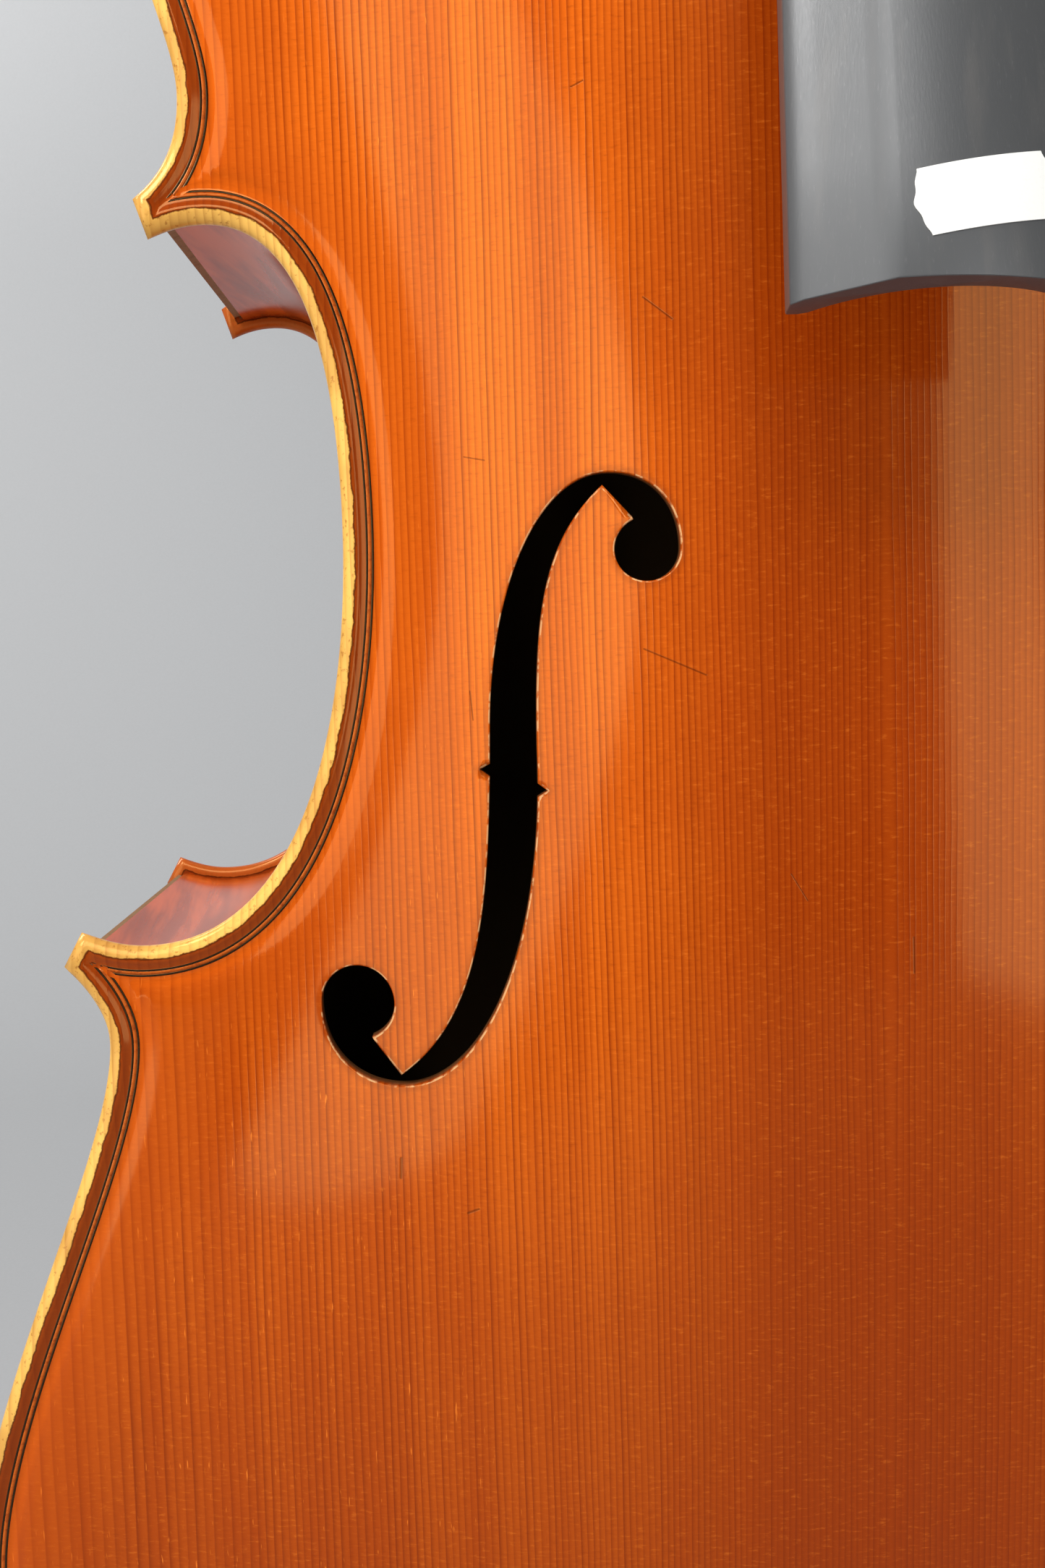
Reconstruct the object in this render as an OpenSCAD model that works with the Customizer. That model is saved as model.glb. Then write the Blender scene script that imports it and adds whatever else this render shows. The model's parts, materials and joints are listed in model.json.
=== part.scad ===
/* [Body] */
// Length of the body without the neck button
body_len = 755; // [745:1:765]
// Height of the ribs
rib_h = 118; // [112:1:124]
// Thickness of the plates at the edge
edge_t = 4.5; // [4:0.1:5]
// Rise of the front and back arches above the edge
arch_h = 24; // [20:0.5:27]
// How far the plates stand out over the ribs
overhang = 3.2; // [2.5:0.1:3.6]
// Thickness of the ribs
rib_t = 1.7; // [1.4:0.1:2]
// Distance from the plate edge to the purfling
purfling_in = 5.4; // [4.8:0.1:6]
// Width of the three-ply purfling strip
purfling_w = 1.8; // [1.4:0.1:2.2]

/* [Fingerboard and neck] */
// Length of the fingerboard
board_len = 588; // [580:1:595]
// Half width of the fingerboard at the bridge end
board_end_w = 29.3; // [28.5:0.1:31]
// Half width of the fingerboard at the nut
board_nut_w = 15.5; // [15:0.1:16]
// Tilt of the fingerboard against the body
board_tilt = 10; // [9:0.25:10.5]
// Height of the fingerboard's lower end above the plate edge
board_lift = 65.3; // [63:0.1:68]

/* [Pegs] */
// Radius of a peg where it enters the pegbox
peg_r = 7.2; // [6.8:0.1:7.6]
// Change of a peg's radius per millimetre of length
peg_taper = 0.029; // [0.025:0.001:0.033]
// Radius of the string hole in a peg
peg_hole_r = 1.2; // [1:0.1:1.3]

/* [Endpin] */
// Radius of the endpin rod
rod_r = 5; // [4:0.5:5]
// Length of the endpin rod
rod_len = 460; // [420:5:480]
// Running clearance round the rod
rod_gap = 0.06; // [0.03:0.01:0.09]
// Height of the body above the endpin's point when the rod is pushed in
body_z = 62; // [60:1:70]

/* [Hidden] */

half_rib = rib_h / 2;
edge_y = half_rib + edge_t;
inner_d = overhang + rib_t;
lining_t = 2.4;
lining_h = 13;
block_gap = 0.02;
peg_gap = 0.03;
varnish = "#b4501c";
maple = "#a8541f";
raw_wood = "#d8b483";
ebony = "#26211f";

// Half outline of a plate from the bottom centre to the top centre, as
// [x, z] curve ends and handles. The straight corner tips lie between them.
lower_curve = [
  [[0, 0], [125, 0], [217, 62], [217, 165]],
  [[217, 165], [217, 205], [177.9, 270], [177.9, 297]],
  [[177.9, 297], [177.9, 304], [183.3, 311], [187.5, 315]]
];
centre_curve = [
  [[183, 323], [176, 320], [172, 319.4], [168, 319.4]],
  [[168, 319.4], [133.3, 319.4], [118.4, 366], [118.4, 416]],
  [[118.4, 416], [118.4, 460.4], [127.8, 482.5], [146.5, 482.5]],
  [[146.5, 482.5], [151, 482.5], [155, 481.5], [159.1, 479.6]]
];
upper_curve = [
  [[162, 488.4], [154, 494], [151, 502], [151, 511]],
  [[151, 511], [151, 528], [171, 560], [171, 625]],
  [[171, 625], [171, 700], [105, 755], [0, 755]]
];

// Points along a cubic curve, without its first point.
function cubic(c, n) = [
  for (i = [1 : n])
    let (t = i / n, u = 1 - t)
    u * u * u * c[0] + 3 * u * u * t * c[1] + 3 * u * t * t * c[2] + t * t * t * c[3]
];
function chain(curves, n) = concat([curves[0][0]], [for (c = curves) each cubic(c, n)]);

lower_pts = chain(lower_curve, 9);
centre_pts = chain(centre_curve, 7);
upper_pts = chain(upper_curve, 9);
half_outline = concat(lower_pts, centre_pts, upper_pts);

// Point i of a curve, moved inwards by d at right angles to the curve.
function unit(v) = v / norm(v);
function inset_pt(p, i, d) =
  let (a = p[max(i - 1, 0)], b = p[min(i + 1, len(p) - 1)], t = unit(b - a))
  p[i] + d * [-t[1], t[0]];
function inset_pts(p, d) = [for (i = [0 : len(p) - 1]) inset_pt(p, i, d)];
function reversed(p) = [for (i = [len(p) - 1 : -1 : 0]) p[i]];
// The curve carried on past both its ends, so that strips overlap at the corners.
function carried_on(p, e) =
  let (n = len(p) - 1)
  concat([p[0] + e * unit(p[0] - p[1])], p, [p[n] + e * unit(p[n] - p[n - 1])]);

// Strip that runs beside a curve, from d1 to d2 inside it.
module strip(p, d1, d2) {
  polygon(concat(inset_pts(p, d1), reversed(inset_pts(p, d2))));
}

module half_plate_2d() {
  polygon(concat(half_outline, [[0, 0]]));
}

// Half plate outline drawn in by d all round; the centre side stays where it is.
module half_inset_2d(d) {
  difference() {
    half_plate_2d();
    strip(carried_on(lower_pts, 9), -9, d);
    strip(carried_on(centre_pts, 9), -9, d);
    strip(carried_on(upper_pts, 9), -9, d);
  }
}

// Puts an outline upright, from y1 to y1 + thick, with its second number as height.
module upright(y1, thick) {
  translate([0, y1 + thick, body_z])
    rotate([90, 0, 0])
      linear_extrude(thick) children();
}

module treble() {
  children();
}

module bass() {
  mirror([1, 0, 0]) children();
}

// ---- Arching ----

wide_z = [165, 416, 625];
wide_w = [208, 109.5, 162];
arch_margin = 9;

function ease(t) = t * t * (3 - 2 * t);
function oval_end(k) = pow(max(0, 1 - pow(min(max(k, 0), 1), 2.2)), 1 / 2.2);
// Half width of the arched part of a plate at height z.
function arch_w(z) =
  z < wide_z[0] ? wide_w[0] * oval_end((wide_z[0] - z) / (wide_z[0] - arch_margin))
  : z < wide_z[1]
    ? wide_w[0] + (wide_w[1] - wide_w[0]) * ease((z - wide_z[0]) / (wide_z[1] - wide_z[0]))
  : z < wide_z[2]
    ? wide_w[1] + (wide_w[2] - wide_w[1]) * ease((z - wide_z[1]) / (wide_z[2] - wide_z[1]))
  : wide_w[2] * oval_end((z - wide_z[2]) / (body_len - arch_margin - wide_z[2]));
function long_arch(z) =
  1 - pow(min(abs(z - body_len / 2) / (body_len / 2 - arch_margin + 2), 1), 2.8);
// Rise of the arch over the flat edge.
function rise(x, z) =
  let (w = arch_w(z), u = w > 0.1 ? min(abs(x) / w, 1) : 1)
  arch_h * long_arch(z) * pow(cos(90 * pow(u, 1.4)), 2);

slab_x = [for (i = [0 : 14]) i == 0 ? -1 : i * 16];
slab_z = [for (j = [0 : 37]) -2 + j * 20.9];

// Closed arched slab over one half of the body, front side, cut to shape later.
module arched_slab() {
  nx = len(slab_x);
  nz = len(slab_z);
  layer = nx * nz;
  function at(l, i, j) = l * layer + j * nx + i;
  pts = [
    for (l = [0, 1], z = slab_z, x = slab_x)
      [x, -half_rib - l * edge_t - rise(x, min(max(z, 0), body_len)), z]
  ];
  outer = [
    for (j = [0 : nz - 2], i = [0 : nx - 2])
      each [[at(1, i, j), at(1, i, j + 1), at(1, i + 1, j + 1)],
            [at(1, i, j), at(1, i + 1, j + 1), at(1, i + 1, j)]]
  ];
  inner = [
    for (j = [0 : nz - 2], i = [0 : nx - 2])
      each [[at(0, i, j), at(0, i + 1, j + 1), at(0, i, j + 1)],
            [at(0, i, j), at(0, i + 1, j), at(0, i + 1, j + 1)]]
  ];
  ends = [
    for (i = [0 : nx - 2])
      each [[at(0, i, 0), at(1, i, 0), at(1, i + 1, 0), at(0, i + 1, 0)],
            [at(0, i, nz - 1), at(0, i + 1, nz - 1), at(1, i + 1, nz - 1), at(1, i, nz - 1)]]
  ];
  sides = [
    for (j = [0 : nz - 2])
      each [[at(0, 0, j), at(0, 0, j + 1), at(1, 0, j + 1), at(1, 0, j)],
            [at(0, nx - 1, j), at(1, nx - 1, j), at(1, nx - 1, j + 1), at(0, nx - 1, j + 1)]]
  ];
  translate([0, 0, body_z])
    polyhedron(pts, concat(outer, inner, ends, sides), convexity = 6);
}

groove_d = 2;

module purfling_2d() {
  difference() {
    half_inset_2d(purfling_in);
    half_inset_2d(purfling_in + purfling_w);
  }
}

// ---- Sound holes, [x, z] from the bridge line ----

bridge_z = 355;
hole_outer = [
  [[43.7, 52], [43.7, 62], [50, 68.7], [59.5, 68.7]],
  [[59.5, 68.7], [74, 68.7], [85.5, 44], [86.3, 12]],
  [[86.3, 12], [87.6, -25], [89.5, -52], [109.3, -66]]
];
hole_inner = [
  [[127.4, -50], [127.4, -61], [120, -68.4], [109.4, -68.4]],
  [[109.4, -68.4], [90, -68.4], [75.5, -36], [75.9, 8]],
  [[75.9, 8], [75.5, 36], [74, 54], [60, 66]]
];
upper_eye = [50.7, 51.8, 7.0];
lower_eye = [118.9, -49.6, 8.5];
nick_w = 2.6;

module f_hole_2d() {
  translate([0, bridge_z]) {
    polygon(concat(
      chain(hole_outer, 7),
      [[115.6, -58], [118.9, -49.6]],
      chain(hole_inner, 7),
      [[53.8, 58.8], [50.7, 51.8]]
    ));
    translate([upper_eye[0], upper_eye[1]]) circle(upper_eye[2], $fn = 32);
    translate([lower_eye[0], lower_eye[1]]) circle(lower_eye[2], $fn = 32);
    polygon([[86, 3.8 - nick_w / 2], [88.9, 3.8], [86, 3.8 + nick_w / 2]]);
    polygon([[77, -1 - nick_w / 2], [73.8, -1], [77, -1 + nick_w / 2]]);
  }
}

neck_root_w = 22.2;
mortise_d = 12;
saddle_w = 20;
saddle_in = 8;
plug_hole_r = 13;

// ---- Plates ----

module half_top_plate() {
  difference() {
    intersection() {
      arched_slab();
      upright(-edge_y - arch_h - 5, arch_h + 20) half_plate_2d();
    }
    upright(-edge_y - 1, 1 + groove_d) purfling_2d();
    upright(-edge_y - arch_h, arch_h + 20) f_hole_2d();
    translate([-5, -edge_y - 20, body_z + body_len - mortise_d])
      cube([neck_root_w + 5, 40, mortise_d + 5]);
    translate([-5, -edge_y - 20, body_z - 5]) cube([saddle_w + 5, 40, saddle_in + 5]);
  }
}

module half_back_plate() {
  button_r = 17;
  union() {
    difference() {
      mirror([0, 1, 0])
        intersection() {
          arched_slab();
          upright(-edge_y - arch_h - 5, arch_h + 20) half_plate_2d();
        }
      upright(edge_y - groove_d, 1 + groove_d) purfling_2d();
    }
    upright(half_rib, edge_t)
      intersection() {
        translate([0, body_len - 2]) circle(button_r, $fn = 48);
        translate([0, body_len - 2]) square([button_r + 1, button_r + 1]);
      }
  }
}

module top_plate_bass() {
  color(varnish) bass() half_top_plate();
}

module top_plate_treble() {
  color(varnish) treble() half_top_plate();
}

module back_plate_bass() {
  color(maple) bass() half_back_plate();
}

module back_plate_treble() {
  color(maple) treble() half_back_plate();
}

module top_purfling() {
  color("#3a2416")
    difference() {
      upright(-edge_y, groove_d) {
        purfling_2d();
        mirror([1, 0]) purfling_2d();
      }
      translate([-neck_root_w, -edge_y - 20, body_z + body_len - mortise_d])
        cube([2 * neck_root_w, 40, mortise_d + 5]);
      translate([-saddle_w, -edge_y - 20, body_z - 5]) cube([2 * saddle_w, 40, saddle_in + 5]);
    }
}

module back_purfling() {
  color("#3a2416")
    upright(edge_y - groove_d, groove_d) {
      purfling_2d();
      mirror([1, 0]) purfling_2d();
    }
}

// ---- Ribs, linings and blocks ----

module upper_rib() {
  difference() {
    upright(-half_rib, rib_h)
      difference() {
        intersection() {
          strip(carried_on(upper_pts, 3), overhang, inner_d);
          half_inset_2d(overhang);
        }
        strip(carried_on(centre_pts, 3), -1, inner_d);
      }
    translate([-1, -half_rib - 1, body_z + body_len - mortise_d])
      cube([neck_root_w + 1, rib_h + 2, mortise_d + 5]);
  }
}

module centre_rib() {
  upright(-half_rib, rib_h)
    intersection() {
      strip(carried_on(centre_pts, 3), overhang, inner_d);
      half_inset_2d(overhang);
    }
}

module lower_rib() {
  difference() {
    upright(-half_rib, rib_h)
      difference() {
        intersection() {
          strip(carried_on(lower_pts, 3), overhang, inner_d);
          half_inset_2d(overhang);
        }
        strip(carried_on(centre_pts, 3), -1, inner_d);
      }
    translate([0, 0, body_z - 5]) cylinder(h = 40, r = plug_hole_r, $fn = 64);
  }
}

module rib_upper_bass() {
  color(maple) bass() upper_rib();
}

module rib_upper_treble() {
  color(maple) treble() upper_rib();
}

module rib_centre_bass() {
  color(maple) bass() centre_rib();
}

module rib_centre_treble() {
  color(maple) treble() centre_rib();
}

module rib_lower_bass() {
  color(maple) bass() lower_rib();
}

module rib_lower_treble() {
  color(maple) treble() lower_rib();
}

block_half_w = 55;
block_depth = 34;
upper_corner_2d = [[108, 458], [138, 458], [175, 470], [175, 500], [138, 540], [126, 520]];
lower_corner_2d = [[118, 348], [140, 350], [200, 330], [200, 300], [160, 262], [140, 285]];

module corner_2d(area) {
  intersection() {
    half_inset_2d(inner_d + block_gap);
    polygon(area);
  }
}

module neck_block_2d() {
  intersection() {
    half_inset_2d(inner_d + block_gap);
    translate([0, body_len - inner_d - block_depth]) square([block_half_w, block_depth + 9]);
  }
}

module end_block_2d() {
  intersection() {
    half_inset_2d(inner_d + block_gap);
    square([block_half_w, inner_d + block_depth]);
  }
}

module neck_block() {
  color(raw_wood)
    difference() {
      upright(-half_rib, rib_h) {
        neck_block_2d();
        mirror([1, 0]) neck_block_2d();
      }
      translate([-neck_root_w, -half_rib - 1, body_z + body_len - mortise_d])
        cube([2 * neck_root_w, rib_h + 2, mortise_d + 5]);
    }
}

module end_block() {
  color(raw_wood)
    difference() {
      upright(-half_rib, rib_h) {
        end_block_2d();
        mirror([1, 0]) end_block_2d();
      }
      translate([0, 0, body_z]) cylinder(h = 60, r = plug_hole_r, $fn = 64);
    }
}

module corner_block_upper_bass() {
  color(raw_wood) bass() upright(-half_rib, rib_h) corner_2d(upper_corner_2d);
}

module corner_block_upper_treble() {
  color(raw_wood) treble() upright(-half_rib, rib_h) corner_2d(upper_corner_2d);
}

module corner_block_lower_bass() {
  color(raw_wood) bass() upright(-half_rib, rib_h) corner_2d(lower_corner_2d);
}

module corner_block_lower_treble() {
  color(raw_wood) treble() upright(-half_rib, rib_h) corner_2d(lower_corner_2d);
}

// A lining runs beside one rib between its blocks.
module lining_2d(p) {
  difference() {
    intersection() {
      strip(p, inner_d, inner_d + lining_t);
      half_inset_2d(inner_d + block_gap);
    }
    polygon(upper_corner_2d);
    polygon(lower_corner_2d);
    square([block_half_w, 60]);
    translate([0, body_len - 60]) square([block_half_w, 70]);
  }
}

module front_lining(p) {
  color(raw_wood) upright(-half_rib, lining_h) lining_2d(p);
}

module back_lining(p) {
  color(raw_wood) upright(half_rib - lining_h, lining_h) lining_2d(p);
}

module lining_front_upper_bass() {
  bass() front_lining(upper_pts);
}

module lining_front_upper_treble() {
  treble() front_lining(upper_pts);
}

module lining_front_centre_bass() {
  bass() front_lining(centre_pts);
}

module lining_front_centre_treble() {
  treble() front_lining(centre_pts);
}

module lining_front_lower_bass() {
  bass() front_lining(lower_pts);
}

module lining_front_lower_treble() {
  treble() front_lining(lower_pts);
}

module lining_back_upper_bass() {
  bass() back_lining(upper_pts);
}

module lining_back_upper_treble() {
  treble() back_lining(upper_pts);
}

module lining_back_centre_bass() {
  bass() back_lining(centre_pts);
}

module lining_back_centre_treble() {
  treble() back_lining(centre_pts);
}

module lining_back_lower_bass() {
  bass() back_lining(lower_pts);
}

module lining_back_lower_treble() {
  treble() back_lining(lower_pts);
}

// ---- Bass bar and sound post ----

bar_x = -26;
bar_t = 10;
bar_z = [88, 668];
bar_deep = 24;

module bass_bar() {
  n = 24;
  zs = [for (i = [0 : n]) bar_z[0] + (bar_z[1] - bar_z[0]) * i / n];
  top_edge = [for (z = zs) [-half_rib - rise(bar_x, z) + 0.6, z]];
  low_edge = [
    for (i = [n : -1 : 0])
      [-half_rib - rise(bar_x, zs[i]) + 5 + (bar_deep - 5) * sin(180 * i / n), zs[i]]
  ];
  color(raw_wood)
    translate([bar_x - bar_t / 2, 0, body_z])
      rotate([90, 0, 90])
        linear_extrude(bar_t) polygon(concat(top_edge, low_edge));
}

post_x = 28;
post_z = 330;
post_r = 5.5;

module sound_post() {
  reach = half_rib + rise(post_x + post_r, post_z) - 0.6;
  color(raw_wood)
    translate([post_x, reach, body_z + post_z])
      rotate([90, 0, 0]) cylinder(h = 2 * reach, r = post_r, $fn = 48);
}

// ---- Neck, pegbox and scroll ----

board_z = 446.6;
board_y = -edge_y - board_lift;
nut_z = board_z + board_len * cos(board_tilt);

function under_board(z) = board_y + tan(board_tilt) * (z - board_z);
function board_w(z) =
  board_end_w + (board_nut_w - board_end_w) * (z - board_z) / (nut_z - board_z);

// Body side of the heel and neck as [z, y], and how square each slice is.
neck_back = [
  [743.5, 59, 6], [772, 59, 6], [777, 49, 5], [783, 33, 4.5], [791, 15, 4], [803, -4, 3.4],
  [820, -19, 2.8], [845, -27, 2.4], [875, -29, 2.1], [930, -22, 2], [985, -13.5, 2], [1031, -5.6, 2]
];
slice_n = 16;

// Points round one level slice of the neck: flat under the board, round behind.
function neck_slice(s) =
  let (
    z = s[0], y0 = under_board(z), deep = s[1] - y0, w = board_w(z),
    narrow = z < 800 ? 0.30 : 0.30 * max(0, 1 - (z - 800) / 60)
  )
  [
    for (k = [0 : slice_n])
      let (
        a = 180 * k / slice_n, c = cos(a), v = pow(sin(a), 2 / s[2]),
        side = sign(c) * pow(abs(c), 2 / s[2])
      )
      [w * side * (1 - narrow * v), y0 + deep * v, z]
  ];

// Skin between slices of equal point counts, closed at both ends.
module loft(slices) {
  m = len(slices[0]);
  n = len(slices);
  walls = [
    for (j = [0 : n - 2], k = [0 : m - 1])
      let (a = j * m + k, b = j * m + (k + 1) % m)
      each [[a, a + m, b + m], [a, b + m, b]]
  ];
  polyhedron(
    [for (s = slices) each s],
    concat([[for (k = [0 : m - 1]) k]], walls, [[for (k = [m - 1 : -1 : 0]) (n - 1) * m + k]]),
    convexity = 6
  );
}

// Moves children from the fingerboard's own frame: z along it from the
// bridge end, -y away from the body, y = 0 on its underside.
module on_board() {
  translate([0, board_y, body_z + board_z]) rotate([-board_tilt, 0, 0]) children();
}

module at_nut() {
  on_board() translate([0, 0, board_len]) children();
}

nut_t = 7;
scroll_y = 22;
scroll_z = 160;
scroll_r = 37;
coil_k = ln(37 / 9.5) / 1080;
coil_step = 0.96;
coil_w = [14, 21, 27];
eye_w = 31;
eye_r = 7.6;

// Places of the four pegs in the pegbox, [y, z] from the nut.
peg_at = [[25, 26], [27, 49], [30, 72], [34, 94]];
box_w = [21, 14.5];
box_top = 122;
wall_w = [14.2, 8.6];

module coil_2d(turn) {
  polygon([
    for (a = [0 : 12 : 360])
      let (r = scroll_r * exp(-coil_k * (360 * turn + a)) * (turn == 0 ? 1 : coil_step))
      [-r * cos(a - 60), r * sin(a - 60)]
  ]);
}

module scroll() {
  translate([0, scroll_y, scroll_z]) {
    for (turn = [0 : 2])
      translate([-coil_w[turn], 0, 0])
        rotate([90, 0, 90]) linear_extrude(2 * coil_w[turn]) coil_2d(turn);
    rotate([0, 90, 0]) cylinder(h = 2 * eye_w, r = eye_r, center = true, $fn = 48);
  }
}

module pegbox_solid() {
  intersection() {
    translate([-30, 0, 0])
      rotate([90, 0, 90])
        linear_extrude(60)
          polygon([
            [0.4, -6], [0.4, 4], [0, 4.5], [0, nut_t], [-3, nut_t + 1], [-0.5, 30], [3.5, 60],
            [9, 90], [15, 110], [16, 119], [12, 126], [4, 132], [20, 150], [58.5, 158], [60, 140], [60.5, 110],
            [59, 80], [55, 50], [49, 26], [41, 6], [33, -6], [22, -16], [10, -16]
          ]);
    translate([0, 80, 0])
      rotate([90, 0, 0])
        linear_extrude(120)
          polygon([
            [-box_w[0], 4], [-box_w[1], box_top], [-12, 160], [12, 160], [box_w[1], box_top],
            [box_w[0], 4], [board_nut_w + 1.2, -16], [-board_nut_w - 1.2, -16]
          ]);
  }
}

module pegbox_cavity() {
  intersection() {
    translate([-30, 0, 0])
      rotate([90, 0, 90])
        linear_extrude(60)
          polygon([
            [-20, 13], [-20, 106], [44, 106], [51, 98], [50.5, 80], [46.5, 50], [40, 27], [30, 13]
          ]);
    translate([0, 80, 0])
      rotate([90, 0, 0])
        linear_extrude(120)
          polygon([[-wall_w[0], 10], [-wall_w[1], 110], [wall_w[1], 110], [wall_w[0], 10]]);
  }
}

// Outer half width of the pegbox at a peg.
function box_half(z) = box_w[0] + (box_w[1] - box_w[0]) * (z - 4) / (box_top - 4);

// Turns children so that +z runs along peg i, from its head side wall at z = 0 into the box.
module at_peg(i) {
  side = i % 2 == 0 ? -1 : 1;
  z = peg_at[i][1];
  at_nut()
    translate([side * box_half(z), peg_at[i][0], z])
      rotate([0, -side * 90, 0]) children();
}

module peg_shank(i, gap) {
  out = 12;
  reach = 2 * box_half(peg_at[i][1]) + 3;
  translate([0, 0, -out])
    cylinder(
      h = out + reach,
      r1 = peg_r + peg_taper * out + gap,
      r2 = peg_r - peg_taper * reach + gap,
      $fn = 64
    );
}

module neck() {
  color(maple)
    difference() {
      union() {
        translate([0, 0, body_z]) loft([for (s = neck_back) neck_slice(s)]);
        at_nut() {
          pegbox_solid();
          scroll();
        }
      }
      at_nut() pegbox_cavity();
      for (i = [0 : 3]) at_peg(i) peg_shank(i, peg_gap);
    }
}

// ---- Fingerboard, nut, saddle and label ----

side_h = 6.2;
crown_r = 62;
crown_x = -4;
flat_to = 0.42;

// Height of the playing surface across the end section, k = 0, and the nut, k = 1.
function board_top(x, k) =
  let (w = board_end_w + (board_nut_w - board_end_w) * k, peak = 16.9 + (9.2 - 16.9) * k,
       c = crown_x * w / board_end_w)
  peak - (x - c) * (x - c) / (2 * crown_r);

// The flat for the lowest string lies on the bass side of the crown.
function board_section(k) =
  let (
    w = board_end_w + (board_nut_w - board_end_w) * k, edge = side_h - 0.8 * k,
    flat_x = -flat_to * w, n = 10
  )
  concat(
    [[-w, 0], [-w + 0.5, -edge]],
    [for (i = [0 : n]) let (x = flat_x + (w - 0.5 - flat_x) * i / n) [x, -board_top(x, k)]],
    [[w, 0]]
  );

scoop_r = 34.7;
scoop_deep = 11.5;
scoop_len = 275;
scoop_tilt = 1.9;

// The overhanging part of the board is hollowed out underneath.
module fingerboard() {
  color(ebony)
    on_board()
      difference() {
        loft([
          for (k = [0, 1])
            [for (p = board_section(k)) [p[0], p[1], k * board_len]]
        ]);
        translate([0, scoop_r - scoop_deep, 0])
          rotate([-scoop_tilt, 0, 0])
            translate([0, 0, -5]) cylinder(h = scoop_len + 5, r = scoop_r, $fn = 96);
      }
}

module nut() {
  color(ebony)
    at_nut()
      rotate([90, 0, 90])
        translate([0, 0, -board_nut_w])
          linear_extrude(2 * board_nut_w)
            polygon([
              [0, 0], [-10.8, 0], [-11.4, 1.5], [-11, 4], [-8.5, nut_t - 0.6], [-6, nut_t],
              [0, nut_t]
            ]);
}

module saddle() {
  color(ebony)
    translate([-saddle_w, 0, body_z])
      rotate([90, 0, 90])
        linear_extrude(2 * saddle_w)
          polygon([
            [-half_rib, 0.4], [-edge_y - 3, 0.4], [-edge_y - 8, 2.5], [-edge_y - 9, 4.5],
            [-edge_y - 7, saddle_in], [-half_rib, saddle_in]
          ]);
}

label_x = 4.6;
label_s = 15.4;
label_w = 26;
label_h = 12.4;
label_turn = 10;
label_t = 0.25;
label_k = 0.01;
label_gap = 0.05;

// Label stuck on the playing surface near its lower end.
module price_label() {
  n = 10;
  band = [
    for (l = [label_gap, label_gap + label_t])
      [for (i = [0 : n]) let (x = label_x - 16 + 32 * i / n) [x, -board_top(x, label_k) - l]]
  ];
  color("white")
    on_board()
      intersection() {
        linear_extrude(40) polygon(concat(band[0], reversed(band[1])));
        translate([label_x, -5, label_s])
          rotate([90, 0, 0])
            rotate(label_turn) linear_extrude(20) square([label_w, label_h], center = true);
      }
}

// ---- Pegs ----

peg_ring_r = 10.5;

module peg_head() {
  head_t = 9;
  translate([0, 0, -12]) {
    rotate_extrude($fn = 64)
      polygon([
        [0, -6], [7.5, -6], [8.6, -4.6], [8.6, -3.6], [peg_ring_r, -3], [peg_ring_r, -1],
        [8.4, 0], [0, 0]
      ]);
    intersection() {
      translate([0, 0, -22]) sphere(r = 19, $fn = 48);
      translate([0, 0, -23])
        rotate([90, 0, 0])
          linear_extrude(head_t, center = true)
            polygon([
              [-5, 22], [5, 22], [8, 15], [15, 9], [18, 2], [17, -7], [11, -14], [4, -17],
              [-4, -17], [-11, -14], [-17, -7], [-18, 2], [-15, 9], [-8, 15]
            ]);
    }
  }
}

module peg(i) {
  reach = 2 * box_half(peg_at[i][1]) + 3;
  color(ebony)
    at_peg(i)
      difference() {
        union() {
          peg_shank(i, 0);
          peg_head();
        }
        translate([0, 0, reach / 2])
          rotate([90, 0, 0]) cylinder(h = 40, r = peg_hole_r, center = true, $fn = 32);
      }
}

module peg_c() {
  peg(0);
}

module peg_a() {
  peg(1);
}

module peg_g() {
  peg(2);
}

module peg_d() {
  peg(3);
}

// ---- Endpin ----

spike_cone = 14;
spike_len = 28;
spike_r = 5.5;
ferrule_z = 33;
ferrule_r = 11;
ferrule_h = 15;
sleeve_r = 8;
sleeve_len = 56;
screw_z = 40.5;
screw_r = 2.5;
screw_gap = 0.05;
rod_bore = rod_r + rod_gap;
plug_top = body_z + 44;
plug_seat = body_z + overhang - 0.1;
plug_gap = 0.05;

module endpin_plug() {
  color(ebony)
    difference() {
      rotate_extrude($fn = 96)
        polygon([
          [0, ferrule_z + ferrule_h], [13, ferrule_z + ferrule_h], [15, ferrule_z + ferrule_h + 2],
          [15, body_z - 5], [18.5, body_z - 2.5], [18.5, body_z + 1.5], [17, plug_seat],
          [plug_hole_r, plug_seat], [plug_hole_r, plug_top], [0, plug_top]
        ]);
      translate([0, 0, ferrule_z]) cylinder(h = 100, r = sleeve_r + plug_gap, $fn = 64);
    }
}

module endpin_ferrule() {
  color("#b8bac0")
    difference() {
      union() {
        translate([0, 0, ferrule_z]) cylinder(h = ferrule_h, r = ferrule_r, $fn = 64);
        translate([0, 0, ferrule_z]) cylinder(h = ferrule_h + sleeve_len, r = sleeve_r, $fn = 64);
        translate([0, 0, screw_z])
          rotate([0, 90, 0]) cylinder(h = 15, r = 5.5, $fn = 48);
      }
      translate([0, 0, ferrule_z - 1])
        cylinder(h = ferrule_h + sleeve_len + 2, r = rod_bore, $fn = 64);
      translate([0, 0, screw_z])
        rotate([0, 90, 0]) cylinder(h = 20, r = screw_r + screw_gap, $fn = 32);
    }
}

module endpin_rod() {
  color("#c9cbd0")
    translate([0, 0, spike_len]) cylinder(h = rod_len, r = rod_r, $fn = 64);
}

module endpin_spike() {
  color("#8f9298")
    union() {
      cylinder(h = spike_cone, r1 = 0.7, r2 = 4, $fn = 48);
      translate([0, 0, spike_cone]) cylinder(h = spike_len - spike_cone, r = spike_r, $fn = 64);
    }
}

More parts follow.
